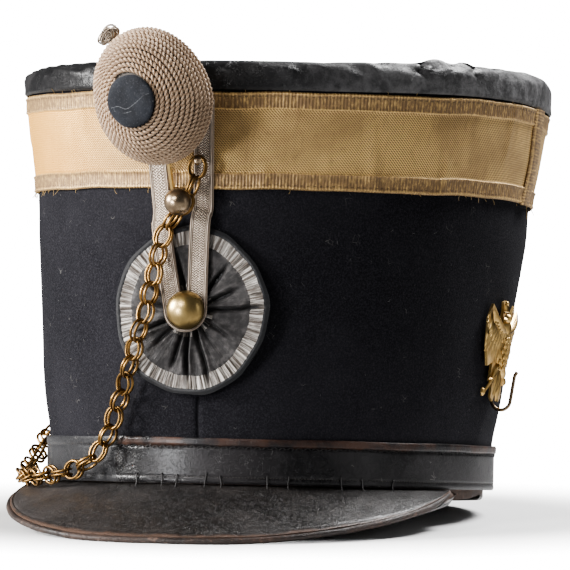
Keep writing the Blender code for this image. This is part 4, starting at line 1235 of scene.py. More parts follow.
        def place(angle: Array, share: Array) -> Array:
            """Braid surface."""
            height = self.braid_low + share * self.braid_width
            degrees = np.degrees(angle)
            around = angle * self.form.top_half_width
            slack = ripple(around, height, 31, 34 * MM) * 0.32 * MM
            hatch = 0.10 * MM * np.sin(around / (1.7 * MM) * math.tau + 2.0 * np.sin(around * 300.0))
            across = np.minimum(share, 1.0 - share) * self.braid_width
            at_border = 1.0 - smooth_step(across, 5.6 * MM, 6.4 * MM)
            puckers = 0.0
            for centre, lean, low, high in (
                (38.0, 2.0, 0.0, 0.24), (39.5, -2.5, 0.0, 0.75), (57.0, 1.0, 0.0, 0.45),
                (-66.0, 1.0, 0.5, 1.0), (-31.0, -1.5, 0.6, 1.0), (14.0, 1.2, 0.0, 0.3), (76.0, 2.0, 0.4, 1.0),
                (-160.0, 2.0, 0.0, 0.6),
            ):
                reach = smooth_step(share, low - 0.1, low + 0.08)
                reach = reach * (1.0 - smooth_step(share, high - 0.1, high))
                puckers = puckers + 0.6 * MM * bell(degrees, centre + lean * share, 1.0) * reach
            rise = self.braid_relief(share) + slack * 0.6 + hatch * at_border + puckers
            wander = 0.35 * MM * ripple(around, around * 0.0, 37, 40 * MM)
            return self.form.points(angle, height + wander, outer + np.maximum(rise, -0.3 * MM))

        item = self.ring("braid_strip", 66, self.braid_width, place, 440)
        wall(item, self.braid_thickness - 0.4 * MM)
        hand_over(item, GoldBraid("braid_weave", metallic=0.35), Slot.GOLD_BRAID, "gold_braid")

    def build_braid_end(self) -> None:
        """End of the braid, turned under and laid over its start at the wearer's left."""
        width = 11.5 * MM
        item = cut_flat("braid_end", 14, 66, width, self.braid_width)
        repattern(item, lambda flat: flat[:, ::-1] * (1.0, 0.60))

        def place(x: Array, y: Array) -> Array:
            """Strip across the braid, with rounded long edges."""
            angle = np.radians(self.braid_end + np.degrees((x - 0.5) * width / self.form.top_half_width))
            angle = angle + np.radians(1.0) * np.sin(y * 5.0)
            round_off = 0.9 * MM * (1.0 - np.abs(2.0 * x - 1.0) ** 4)
            height = self.braid_low - 0.4 * MM + y * (self.braid_width + 0.6 * MM)
            return self.form.points(angle, height, GAP + self.braid_thickness + 0.2 * MM + round_off)

        shape(item, place)
        wall(item, 0.6 * MM)
        hand_over(item, GoldBraid("braid_weave", metallic=0.35), Slot.GOLD_BRAID)

    def build_frays(self) -> None:
        """Loose gold threads along the braid's edges."""
        draw = np.random.default_rng(5)
        routes = []
        spots = [(angle, self.braid_low + 0.2 * MM, -1.0) for angle in draw.uniform(-78.0, -50.0, 22)]
        spots += [(angle, self.braid_low + 0.2 * MM, -1.0) for angle in draw.uniform(-180.0, 180.0, 46)]
        spots += [(angle, self.braid_low + self.braid_width - 0.2 * MM, 1.0)
                  for angle in draw.uniform(-180, 180, 40)]
        spots += [(97.0, 140.0 * MM, 0.4), (98.5, 138.5 * MM, -0.3), (96.0, self.braid_low, -1.5)]
        for degrees, height, way in spots:
            length = draw.uniform(0.8, 2.6) * MM * max(abs(way), 0.6)
            start = self.form.point(degrees, height, GAP + 0.7 * MM)
            lean, lift = draw.uniform(-0.9, 0.9), draw.uniform(0.1, 0.7)
            outward = Vector((math.sin(math.radians(degrees)), -math.cos(math.radians(degrees)), 0.0))
            side = outward.cross(Vector((0.0, 0.0, 1.0)))
            end = start + (side * lean + Vector((0.0, 0.0, way)) + outward * lift) * length
            bent = (start + end) / 2.0 + side * draw.uniform(-0.3, 0.3) * length
            routes.append(smooth_route([start, bent, end], 5))
        item = wires("braid_frays", routes, 0.09 * MM, 0)
        hand_over(item, CordThread("gold_thread", bright=(0.5, 0.35, 0.14), dark=(0.2, 0.12, 0.04)),
                  Slot.GOLD_BRAID)

    def band_relief(self, height: Array) -> Array:
        """Height of the base band's face: sewn rim above, stitch groove below."""
        low_rim = self.band_height - self.rim_height
        rim = 0.55 * MM * smooth_step(height, low_rim, low_rim + 0.7 * MM)
        seam = -0.35 * MM * bell(height, low_rim, 0.5 * MM)
        groove = -0.22 * MM * bell(height, 2.5 * MM, 0.35 * MM)
        ends = np.minimum(height, self.band_height - height)
        return rim + seam + groove - 0.45 * MM * (1.0 - smooth_step(ends, 0.0, 0.7 * MM))

    def build_band(self) -> None:
        """Leather base band with its rolled rim, stitching and sewing loops."""
        outer = GAP + self.band_thickness - 0.3 * MM

        def place(angle: Array, share: Array) -> Array:
            """Band surface."""
            height = share * self.band_height
            around = angle * self.form.base_half_length
            dull = 1.0 - smooth_step(around, -36.0 * MM, -33.5 * MM)
            rise = self.band_relief(height) * (1.0 - 0.55 * dull)
            uneven = 0.22 * MM * ripple(around, height, 41, 30 * MM)
            wander = 0.25 * MM * ripple(around, around * 0.0, 43, 60 * MM) * share
            return self.form.points(angle, height + wander, outer + rise + uneven * 0.7)

        item = self.ring("base_strip", 40, self.band_height, place, 420)
        wall(item, self.band_thickness - 0.4 * MM)
        finish = BandLeather("band_leather", deep=(0.0085, 0.0079, 0.0088), worn=(0.025, 0.0226, 0.0243),
                             coat=0.12, smooth=0.27, rough=0.43, scuff_amount=0.14, grain=1300.0,
                             depth=0.18 * MM, specular=0.28)
        hand_over(item, finish, Slot.BLACK_LEATHER, "base_band")
        self.build_stitches(outer)

    def build_stitches(self, outer: float) -> None:
        """Zigzag stitches below the rim, the fine lower row and the loops that hold the peak."""
        draw = np.random.default_rng(8)
        rim_row = self.band_height - self.rim_height
        zigzag, fine = [], []
        first, pitch, count = self.zigzag_row
        for step in range(count):
            degrees = first + step * pitch
            lean = 0.62 if step % 2 else -0.62
            place = self.form.frame(degrees, rim_row + draw.uniform(-0.1, 0.1) * MM, outer + 0.12 * MM)
            zigzag.append(place @ Matrix.Rotation(lean + draw.uniform(-0.1, 0.1), 4, "Z"))
        first, pitch, count = self.stitch_row
        for step in range(count):
            degrees = first + step * pitch
            fine.append(self.form.frame(degrees, 2.5 * MM, outer - 0.05 * MM))
        thread = new_ball("stitch", 6, 5)
        move(thread, Matrix.Diagonal((0.95 * MM, 0.24 * MM, 0.24 * MM, 1.0)))
        black = CordThread("black_thread", bright=(0.030, 0.028, 0.028), dark=(0.008, 0.007, 0.007))
        hand_over(copies("band_zigzag", thread, zigzag), black, Slot.BLACK_LEATHER)
        thread = new_ball("stitch", 6, 4)
        move(thread, Matrix.Diagonal((0.42 * MM, 0.13 * MM, 0.13 * MM, 1.0)))
        pale = CordThread("waxed_thread", bright=(0.085, 0.075, 0.066), dark=(0.022, 0.018, 0.016))
        hand_over(copies("band_stitches", thread, fine), pale, Slot.BLACK_LEATHER)
        routes = []
        for degrees in (-9.1, -4.9, 2.9, 6.4, 18.2, 23.6, 36.9, 42.6, -16.5, 51.5):
            high, slant = draw.uniform(2.6, 4.0) * MM, draw.uniform(-0.5, 0.5)
            routes.append(smooth_route([
                self.form.point(degrees, high, outer - 0.3 * MM),
                self.form.point(degrees, high - 0.4 * MM, outer + 0.55 * MM),
                self.form.point(degrees + slant, 0.4 * MM, outer + 0.65 * MM),
                self.form.point(degrees + slant, -1.3 * MM, outer + 1.4 * MM),
                self.form.point(degrees + slant, -2.2 * MM, outer + 1.6 * MM),
            ], 12))
        hand_over(wires("peak_sewing", routes, 0.27 * MM, 1), black, Slot.BLACK_LEATHER)

    def build_sweatband(self) -> None:
        """Brown leather sweatband, wavy below."""
        outer = -self.form.cloth - GAP

        def place(angle: Array, share: Array) -> Array:
            """Sweatband surface."""
            around = angle * self.form.base_half_length
            drop = -self.sweat_drop + 0.8 * MM * (0.5 + 0.5 * ripple(around, around * 0.0, 51, 70 * MM))
            drop = np.where(np.abs(np.degrees(angle)) > 150.0, -self.sweat_drop, drop)
            drop = drop + 3.0 * MM * (bell(np.degrees(angle), 101.0, 11.0)
                                      + bell(np.degrees(angle), -101.0, 11.0))
            height = drop + share * (self.sweat_top - drop)
            uneven = -0.3 * MM * (0.5 + 0.5 * ripple(around, height, 52, 26 * MM))
            return self.form.points(angle, height, outer + uneven)

        item = self.ring("sweat_leather", 20, self.sweat_top, place, 220)
        wall(item, self.sweat_thickness)
        finish = WornLeather("sweat_leather", deep=(0.022, 0.011, 0.007), worn=(0.062, 0.034, 0.022),
                             scuff=(0.17, 0.10, 0.07), scuff_amount=0.6, smooth=0.4, rough=0.7)
        hand_over(item, finish, Slot.BROWN_LEATHER, "sweatband")

    def build_lint(self) -> None:
        """Short pale hairs that cling to the cloth."""
        draw = np.random.default_rng(15)
        routes = []
        for _ in range(self.lint_hairs):
            degrees, height = draw.uniform(-180.0, 180.0), draw.uniform(20.0, 109.0) * MM
            place = self.form.frame(degrees, height, 0.55 * MM)
            turn, length = draw.uniform(0.0, math.tau), draw.uniform(0.4, 1.9) * MM
            curl = draw.uniform(-0.8, 0.8)
            steps = np.linspace(0.0, 1.0, 5)
            bend = turn + curl * steps
            local = np.column_stack([steps * np.cos(bend), steps * np.sin(bend),
                                     0.25 * np.sin(steps * 3.0)]) * length
            routes.append(apply_matrix(place, local))
        speck = self.form.frame(104.0, 17.2 * MM + 6.0 * MM, 0.4 * MM)
        routes.append(apply_matrix(speck, np.array([[0, 0, 0], [0.3, 1.0, 0.2], [0.7, 2.2, 0]]) * MM))
        item = wires("cloth_lint", routes, 0.045 * MM, 0)
        pale = CordThread("pale_lint", bright=(0.20, 0.195, 0.185), dark=(0.05, 0.05, 0.05))
        hand_over(item, pale, Slot.FELT)


# Peak


@dataclass
class Peak:
    """Leather peak with a stitched line and a bound edge."""

    form: CrownForm = FORM
    centre_y: float = -50.0 * MM
    half_width: float = 84.0 * MM
    half_length: float = 96.0 * MM
    drop: float = 20.3 * MM
    thickness: float = 2.8 * MM
    slope: float = 25.0
    bulge: float = 1.6 * MM
    inner_angle: float = 73.5
    outer_angle: float = 96.0
    flat_angle: float = 20.0
    lift_power: float = 1.45
    binding: float = 1.2 * MM

    def floor_rise(self, turn: Array) -> Array:
        """Rise of the floor below the peak's edge, from its front round its outline."""
        return math.tan(-REST_TILT) * self.half_length * (1.0 - np.cos(turn))

    def edge(self, share: Array) -> Array:
        """Points of the outer edge; share runs from -1 on the right to 1 on the left."""
        end = math.radians(self.outer_angle)
        turn = end * share
        beyond = np.maximum(np.abs(share) * self.outer_angle - self.flat_angle, 0.0)
        raised = (beyond / (self.outer_angle - self.flat_angle)) ** self.lift_power
        end_lift = self.drop - GAP - self.floor_rise(end)
        return np.column_stack([
            self.half_width * np.sin(turn),
            self.centre_y - self.half_length * np.cos(turn),
            self.floor_rise(turn) + end_lift * raised - self.drop,
        ])

    def surface(self, share: Array, out: Array) -> Array:
        """Upper face; out runs from 0 at the crown to 1 at the edge."""
        seat = -self.form.cloth + GAP + self.thickness * math.sin(math.radians(self.slope))
        inner = self.form.points(np.radians(self.inner_angle) * share, -GAP + 0.0 * share, seat)
        edge = self.edge(share)
        points = inner + (edge - inner) * out[:, None]
        points[:, 2] += self.bulge * 4.0 * out * (1.0 - out) * np.cos(share * math.pi / 2.0)
        return points

    def build(self) -> None:
        """Build the peak's leather and its binding."""
        item = cut_flat("peak_leather", 150, 46, 2.0, 1.0)

        def place(x: Array, y: Array) -> Array:
            """Peak surface with a pressed line near its edge."""
            share, out = 2.0 * x - 1.0, y
            points = self.surface(share, 0.988 * out)
            line = -0.35 * MM * bell(out, 0.935, 0.010) + 0.2 * MM * bell(out, 0.962, 0.012)
            rough = 0.22 * MM * ripple(points[:, 0], points[:, 1], 61, 17 * MM)
            rough = rough + 0.35 * MM * ripple(points[:, 0], points[:, 1], 62, 52 * MM)
            free = smooth_step(out, 0.06, 0.2)
            points[:, 2] += line * np.cos(share * math.pi / 2.0) ** 0.3 + rough * free * (1 - 0.6 * out)
            return points

        shape(item, place)
        if item.data.polygons[0].normal.z < 0.0:
            item.data.flip_normals()
        wall(item, self.thickness - 0.3 * MM)
        modify(item, "BEVEL", width=0.5 * MM, segments=2, limit_method="ANGLE",
               angle_limit=math.radians(50.0))
        finish = PeakLeather("peak_leather", deep=(0.0090, 0.0078, 0.0076), worn=(0.026, 0.0220, 0.0208),
                             scuff=(0.125, 0.100, 0.088), scuff_amount=0.30, smooth=0.27, rough=0.55,
                             grain=1900.0, depth=0.40 * MM, coat=0.12)
        hand_over(item, finish, Slot.BROWN_LEATHER, "peak")
        self.build_binding()

    def build_binding(self) -> None:
        """Bound edge of brown leather, sewn round the outside."""
        share = np.linspace(-0.985, 0.985, 220)
        route = self.edge(share)
        route[:, 2] += -self.thickness / 2.0 + 0.05 * MM
        around = share * self.half_length * 1.6
        route[:, 2] += 0.10 * MM * ripple(around, around * 0.0, 63, 22 * MM)
        taper = 0.55 + 0.45 * smooth_step(1.0 - np.abs(share), 0.015, 0.16)
        item = wires("peak_binding", [route], self.binding, 3, taper=taper)
        finish = WornLeather("edge_leather", deep=(0.014, 0.0095, 0.0080), worn=(0.048, 0.029, 0.022),
                             scuff=(0.17, 0.105, 0.078), scuff_amount=0.8, smooth=0.45, rough=0.7,
                             grain=1100.0, depth=0.35 * MM)
        hand_over(item, finish, Slot.BROWN_LEATHER)


# Front: cockade, lace loop, button, badge and stud


@dataclass
class Cockade:
    """Gathered silk rosette with a silver ring and deep irregular folds."""

    form: CrownForm = FORM
    degrees: float = -1.8
    height: float = 65.2 * MM
    half_width: float = 30.6 * MM
    half_height: float = 32.0 * MM
    wall: float = 1.2 * MM
    stand_off: float = 0.8 * MM
    bend: float = 2.0 * MM
    rise: float = 1.3 * MM
    fold_height: float = 1.3 * MM
    folds: tuple = (
        (47.0, 1.0, 0.80), (22.0, 0.9, 0.74), (2.0, 0.9, 1.02), (-30.0, 0.6, 0.72), (-52.0, 0.45, 0.55),
        (-71.0, 1.1, 0.98), (-92.0, 1.1, 0.93), (-108.0, 1.1, 0.80), (-137.0, 1.0, 0.76), (-157.0, 0.9, 0.80),
        (172.0, 0.7, 0.66), (150.0, 0.9, 0.72), (128.0, 0.8, 0.8), (104.0, 0.9, 0.75), (84.0, 1.1, 0.95),
        (66.0, 0.7, 0.7),
    )

    def matrix(self) -> Matrix:
        """Frame of the rosette's rim, on its front face."""
        return self.form.frame(self.degrees, self.height, self.stand_off + self.wall)

    def front(self, x: Array, y: Array) -> Array:
        """Height of the plain front face without its folds."""
        reach = np.hypot(x / self.half_width, y / self.half_height)
        rise = np.interp(reach, (0.2, 0.45, 0.74, 0.80, 0.96, 1.0), (0.6, 1.0, 0.9, 0.7, 0.5, 0.0))
        return self.rise * rise - self.bend * (x / self.half_width) ** 2

    def valleys(self, turn: Array, reach: Array) -> Iterator[tuple]:
        """Size, outer end and distance across of each fold."""
        for centre, size, end in self.folds:
            spot = centre + 3.0 * np.sin(reach * 7.0 + centre) * (reach - 0.3)
            off = (np.degrees(turn) - spot + 180.0) % 360.0 - 180.0
            yield size, end, np.radians(off) * reach * self.half_width

    def relief(self, turn: Array, reach: Array) -> Array:
        """Height of the folds and pleats."""
        depth = np.zeros_like(turn)
        for size, end, arc in self.valleys(turn, reach):
            fade = 1.0 - smooth_step(reach, end - 0.30, end)
            valley = bell(arc, 0.0, (0.50 + 0.30 * size) * MM)
            bank = bell(arc, 1.5 * MM, 0.9 * MM) + 0.5 * bell(arc, -1.9 * MM, 1.4 * MM)
            depth = depth + size * fade * (0.75 * bank - 2.2 * valley) * MM
        ring = smooth_step(reach, 0.75, 0.80) * (1.0 - smooth_step(reach, 0.925, 0.945))
        pleat = 0.26 * MM * np.sin(turn * 71.0 + 1.5 * np.sin(turn * 9.0)) + 0.16 * MM * np.sin(turn * 127.0)
        swell = 0.45 * MM * np.sin(turn * 11.0 + 0.7) * smooth_step(reach, 0.30, 0.5) * (
            1.0 - smooth_step(reach, 0.70, 0.85))
        heart = 0.45 * MM * np.sin(turn * 23.0) * bell(reach, 0.27, 0.05)
        edging = 0.30 * MM * bell(reach, 0.965, 0.014)
        return np.clip(depth + ring * pleat + swell + heart + edging, -1.9 * MM, self.fold_height)

    def shade(self, turn: Array, reach: Array) -> Array:
        """Share of painted shade in the depth of each fold."""
        depth = np.zeros_like(turn)
        for size, end, arc in self.valleys(turn, reach):
            fade = 1.0 - smooth_step(reach, end - 0.22, end)
            dark = bell(arc, 0.3 * MM, (0.5 + 0.4 * size) * MM)
            depth = np.maximum(depth, np.minimum(size, 1.0) * fade * dark)
        return depth

    def build(self) -> None:
        """Build the rosette."""
        inner = 0.17
        item = cut_flat("rosette", 432, 56, 1.0, 1.0)
        repattern(item, lambda flat: flat * (1.0, 1.0 - inner) + (0.0, inner))
        matrix = self.matrix()

        def place(x: Array, y: Array) -> Array:
            """Rosette surface, from its heart to its rim."""
            turn, reach = math.tau * x, inner + (1.0 - inner) * y
            ragged = 1.0 + 0.012 * np.sin(turn * 5.0 + 1.0) * y + 0.006 * np.sin(turn * 13.0) * y
            flat_x = self.half_width * reach * np.cos(turn) * ragged
            flat_y = self.half_height * reach * np.sin(turn) * ragged
            high = self.front(flat_x, flat_y) + self.relief(turn, reach)
            return apply_matrix(matrix, np.column_stack([flat_x, flat_y, high]))

        flat = coordinates(item)
        # Painted shade for the depths of the folds, kept on the mesh for the silk's colour.
        shade = item.data.attributes.new("fold_shade", "FLOAT", "POINT")
        shade.data.foreach_set("value", self.shade(math.tau * flat[:, 0], inner + (1.0 - inner) * flat[:, 1]))
        shape(item, place)
        weld(item)
        wall(item, 0.5 * MM)
        heart = new_disc("rosette_back", 96)
        in_edit_mode(heart, lambda: bpy.ops.mesh.inset(thickness=0.06, depth=0.0))
        modify(heart, "TRIANGULATE")
        flat = coordinates(heart)
        flat[:, 0] *= self.half_width * 0.985
        flat[:, 1] *= self.half_height * 0.985
        flat[:, 2] = -self.bend * (flat[:, 0] / self.half_width) ** 2 - 0.25 * MM
        put_coordinates(heart, apply_matrix(matrix, flat))
        wall(heart, 0.9 * MM)
        finish = CockadeSilk("gathered_silk", sheen=0.12, specular=0.3)
        hand_over(item, finish, Slot.SILVER_SILK, "cockade")
        hand_over(heart, WornLeather("rosette_lining", scuff_amount=0.1), Slot.SILVER_SILK)


@dataclass
class LaceLoop:
    """Silver lace that runs down, round below the button and up again."""

    cockade: Cockade
    crown: Crown
    form: CrownForm = FORM
    width: float = 8.0 * MM
    thickness: float = 1.0 * MM
    top: float = 145.0 * MM
    middle_height: float = 98.0 * MM
    turn_height: float = 65.6 * MM
    turn_radius: float = 4.7 * MM
    left_top: float = -20.0 * MM
    left_middle: float = -14.9 * MM
    right_top: float = 1.4 * MM
    turn_x: float = -4.1 * MM
    reach: float = 4.0 * MM

    def centre_line(self) -> Array:
        """Centre line in the plane of X and height."""
        turns = np.linspace(math.pi, math.tau, 17)
        arc = np.column_stack([
            self.turn_x + self.turn_radius * np.cos(turns),
            self.turn_height + self.turn_radius * np.sin(turns),
        ])
        share = np.linspace(0.0, 1.0, 41)[:-1, None]
        top, middle = np.array([self.left_top, self.top]), np.array([self.left_middle, self.middle_height])
        right = np.array([self.right_top, self.top])
        upper = top + (middle - top) * share
        lower = middle + (arc[0] - middle) * share
        rise = arc[-1] + (right - arc[-1]) * np.linspace(0.0, 1.0, 81)[1:, None]
        return np.vstack([upper, lower, arc, rise])

    def under(self, x: Array, height: Array) -> Array:
        """Y of what lies below the lace: cloth, braid or rosette."""
        braid_high = self.crown.braid_low + self.crown.braid_width
        on_braid = (height > self.crown.braid_low - GAP) & (height < braid_high)
        offset = np.where(on_braid, GAP + self.crown.braid_thickness, 0.0)
        half_width, half_length, set_back = self.form.section(height)
        share = np.clip(np.abs(x) / (half_width + offset), 0.0, 0.99)
        y = set_back - (half_length + offset) * np.sqrt(1.0 - share ** 2)
        matrix = self.cockade.matrix()
        local = apply_matrix(matrix.inverted(), np.column_stack([x, y, height]))
        reach = np.hypot(local[:, 0] / self.cockade.half_width, local[:, 1] / self.cockade.half_height)
        local[:, 2] = self.cockade.front(local[:, 0], local[:, 1]) + self.cockade.fold_height
        over = apply_matrix(matrix, local)[:, 1]
        return np.where(reach < 1.03, np.minimum(y, over), y)

    def build(self) -> None:
        """Build the lace with its ribbed edges."""
        line = self.centre_line()
        along = distances(line)
        rows = len(line) - 1
        columns = 24
        item = cut_flat("lace_loop", columns, rows, self.width, along[-1])
        tangent = unit(np.gradient(line, axis=0))
        side = np.column_stack([-tangent[:, 1], tangent[:, 0]])

        def place(x: Array, y: Array) -> Array:
            """Lace surface, laid over what is below it."""
            row = np.rint(y * rows).astype(int)
            flat = line[row] + side[row] * (self.width * (x - 0.5))[:, None]
            tries = [self.under(flat[:, 0], flat[:, 1] + shift) for shift in (-self.reach, 0.0, self.reach)]
            y_place = np.min(tries, axis=0) - GAP
            grid = np.zeros((rows + 1, columns + 1))
            column = np.rint(x * columns).astype(int)
            grid[row, column] = y_place
            pad = np.pad(grid, ((3, 3), (0, 0)), mode="edge")
            soft = sum(pad[shift:shift + rows + 1] for shift in range(7)) / 7.0
            y_place = np.minimum(soft[row, column], y_place + 0.3 * MM)
            edge = np.minimum(x, 1.0 - x) * self.width
            ribs = 0.14 * MM * np.sin(edge / (0.55 * MM) * math.tau) * (edge < 1.65 * MM)
            groove = -0.16 * MM * bell(edge, 1.75 * MM, 0.15 * MM)
            uneven = 0.12 * MM * ripple(along[row], x * self.width, 71, 22 * MM)
            return np.column_stack([flat[:, 0], y_place - (ribs + groove + uneven), flat[:, 1]])

        shape(item, place)
        if item.data.polygons[0].normal.y > 0.0:
            item.data.flip_normals()
        wall(item, self.thickness - 0.25 * MM, side=1.0)
        finish = SilverLace("silver_lace_weave", metallic=0.2, sheen=0.2)
        hand_over(item, finish, Slot.SILVER_LACE, "cockade_loop")


@dataclass
class Fittings:
    """Domed button, ball stud, badge stem and the pin of the chain."""

    cockade: Cockade
    form: CrownForm = FORM
    button_radius: float = 7.5 * MM
    button_dome: float = 6.4 * MM
    button_rim: float = 0.8 * MM
    stud_degrees: float = -2.75
    stud_height: float = 104.9 * MM
    stud_radius: float = 5.2 * MM
    stud_shank: float = 0.8 * MM
    stud_stand_off: float = 13.6 * MM

    def build(self) -> None:
        """Build the button and the stud, and dress the stem and the pin."""
        matrix = self.cockade.matrix()
        spot = matrix.inverted() @ self.form.point(self.cockade.degrees, self.cockade.height)
        lift = self.cockade.rise + self.cockade.fold_height + 1.0 * MM + 2.0 * GAP
        dome = new_ball("loop_dome", 64, 40)
        flat = coordinates(dome)
        dome_high = flat[:, 2] > -0.02
        flat[:, 0:2] *= self.button_radius
        bulged = self.button_rim + self.button_dome * np.maximum(flat[:, 2], 0.0) ** 0.92
        flat[:, 2] = np.where(dome_high, bulged, self.button_rim * (1.0 + np.maximum(flat[:, 2], -1.0)))
        flat[:, 2] -= 0.10 * MM * bell(np.hypot(flat[:, 0], flat[:, 1]), 6.9 * MM, 0.35 * MM) * dome_high
        put_coordinates(dome, flat)
        move(dome, matrix @ Matrix.Translation((spot.x, spot.y, lift)))
        brass = OldBrass("button_brass", smooth=0.26, rough=0.44, hollows=0.0, soil=55.0,
                         bright=(0.55, 0.41, 0.185), dull=(0.30, 0.213, 0.092))
        hand_over(dome, brass, Slot.BRASS, "loop_button")
        matrix = self.form.frame(self.stud_degrees, self.stud_height, 0.0)
        ball = new_ball("stud_ball", 48, 32, self.stud_radius)
        dents = coordinates(ball)
        dents *= (1.0 + 0.010 * ripple(dents[:, 0], dents[:, 1] + dents[:, 2], 81, 5 * MM))[:, None]
        put_coordinates(ball, dents)
        move(ball, Matrix.Translation((0.0, 0.0, self.stud_stand_off)))
        shank = primitive("stud_shank", bpy.ops.mesh.primitive_cylinder_add, vertices=20,
                          radius=self.stud_shank, depth=self.stud_stand_off)
        move(shank, Matrix.Translation((0.0, 0.0, self.stud_stand_off / 2.0 + GAP / 2.0)))
        stud = join("ball_stud", [ball, shank])
        move(stud, matrix)
        dark = OldBrass("dark_brass_fitting", bright=(0.37, 0.28, 0.19), dull=(0.165, 0.12, 0.08),
                        smooth=0.26, rough=0.44, hollows=0.3, soil=120.0)
        hand_over(stud, dark, Slot.DARK_BRASS, "chain_stud")
        for node, finish in (("badge_stem", OldBrass("stem_brass", hollows=0.5)), ("chain_pin", dark)):
            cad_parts[node].data.materials.clear()
            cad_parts[node].data.materials.append(finish.material())


@dataclass
class Badge:
    """Badge of two-ply cord wound over a dome, with a velvet disc and a knot of wire."""

    form: CrownForm = FORM
    degrees: float = -6.6
    height: float = 146.6 * MM
    stand_off: float = 15.5 * MM
    half_width: float = 24.5 * MM
    half_height: float = 26.4 * MM
    front: float = 19.4 * MM
    back: float = 5.0 * MM
    turn: float = 4.0
    nod: float = 5.0
    velvet: float = 10.0 * MM
    velvet_thickness: float = 1.6 * MM
    ply: float = 0.50 * MM
    twist: float = 3.7 * MM
    turns: float = 13.0
    back_turns: float = 2.6
    steps_a_twist: int = 8
    cord_start: float = 2.2
    knot_degrees: float = 128.0
    knot_stand_off: float = 2.6 * MM
    knot_loops: int = 15
    knot_wire: float = 0.43 * MM
    knot_ends: int = 34
    end_wire: float = 0.17 * MM
    lean: float = 0.13

    def lean_over(self, points: Array) -> Array:
        """Push the badge's upper half to one side, as it has settled."""
        leant = points.copy()
        leant[:, 0] -= self.lean * np.maximum(points[:, 1], 0.0)
        return leant

    def matrix(self) -> Matrix:
        """Frame of the badge: Z along its axis, out of its middle."""
        return (
            self.form.frame(self.degrees, self.height, self.stand_off)
            @ Matrix.Rotation(math.radians(-self.turn), 4, "Y")
            @ Matrix.Rotation(math.radians(self.nod), 4, "X")
        )

    def profile(self, inset: float) -> Array:
        """Radius and height along the dome, from the velvet's edge round to the back.

        Args:
            inset: how far the line lies inside the outer form.

        Returns:
            Evenly spaced rows of radius and height.
        """
        flat = self.velvet + GAP
        full = self.front / math.sqrt(1.0 - (flat / self.half_width) ** 2)
        start = math.asin((flat - 1.6 * self.ply) / self.half_width)
        front = np.linspace(start, math.pi / 2.0, 60)
        rear = np.linspace(0.0, math.radians(78.0), 30)[1:]
        radius = np.concatenate([self.half_width * np.sin(front), self.half_width * np.cos(rear)])
        height = np.concatenate([full * np.cos(front), -self.back * np.sin(rear)])
        line = np.column_stack([radius, height])
        tangent = unit(np.gradient(line, axis=0))
        line = line - np.column_stack([-tangent[:, 1], tangent[:, 0]]) * inset
        return walk(line, 400)

    def spiral(self) -> Array:
        """Centre line of the cord in the badge's frame, from the velvet to the back."""
        line = self.profile(2.0 * self.ply)
        rim = np.argmax(line[:, 0]) / (len(line) - 1)
        total = self.turns + self.back_turns
        turn = np.linspace(0.0, total, int(total * 220))
        share = np.where(turn < self.turns, turn / self.turns * rim,
                         rim + (turn - self.turns) / self.back_turns * (1.0 - rim))
        share = np.clip(share + 0.010 * smooth_step(turn, self.turns - 1.3, self.turns - 0.5), 0.0, 1.0)
        share += 0.0022 * np.sin(turn * 2.3) * np.sin(math.pi * share)
        spot = share * (len(line) - 1)
        radius = np.interp(spot, np.arange(len(line)), line[:, 0])
        height = np.interp(spot, np.arange(len(line)), line[:, 1])
        around = turn * math.tau + self.cord_start
        stretch = self.half_height / self.half_width
        points = np.column_stack([radius * np.cos(around), radius * np.sin(around) * stretch, height])
        return walk(self.lean_over(points), step=self.twist / self.steps_a_twist)

    def build(self) -> None:
        """Build the dome, its cord, the velvet disc and the knot."""
        matrix = self.matrix()
        self.build_core(matrix)
        line = self.spiral()
        tangent = unit(np.gradient(line, axis=0))
        outward = line - np.array([0.0, 0.0, -2.0 * MM])
        side = unit(np.cross(tangent, outward))
        normal = np.cross(side, tangent)
        phase = np.arange(len(line)) / self.steps_a_twist * math.tau
        plies = []
        for start in (0.0, math.pi):
            swing = normal * np.cos(phase + start)[:, None] + side * np.sin(phase + start)[:, None]
            plies.append(apply_matrix(matrix, line + swing * self.ply * 0.98))
        cord = wires("badge_cord", plies, self.ply, 1)
        silver = CordThread("silver_cord_ply", metallic=0.15, sheen=0.15, bright=(0.66, 0.49, 0.345),
                            dark=(0.17, 0.105, 0.064))
        hand_over(cord, silver, Slot.SILVER_CORD, "field_badge")
        self.build_velvet(matrix)
        self.build_knot(matrix)

    def build_core(self, matrix: Matrix) -> None:
        """Dark padded dome below the cord."""
        line = self.profile(3.2 * self.ply)
        picks = line[:: 12]
        rows = len(picks) + 1
        core = cut_flat("badge_core", 72, rows, 0.15, 0.05)

        def place(x: Array, y: Array) -> Array:
            """Closed dome, with a point on its axis at each end."""
            row = np.rint(y * rows).astype(int)
            radius = np.concatenate([[0.0], picks[:, 0], [0.0]])[row]
            height = np.concatenate([[picks[0, 1]], picks[:, 1], [picks[-1, 1]]])[row]
            turn = x * math.tau
            stretch = self.half_height / self.half_width
            points = np.column_stack([radius * np.cos(turn), radius * np.sin(turn) * stretch, height])
            return self.lean_over(points)

        shape(core, place)
        weld(core)
        move(core, matrix)
        dark = CordThread("badge_padding", bright=(0.06, 0.045, 0.032), dark=(0.015, 0.011, 0.009))
        hand_over(core, dark, Slot.SILVER_CORD)

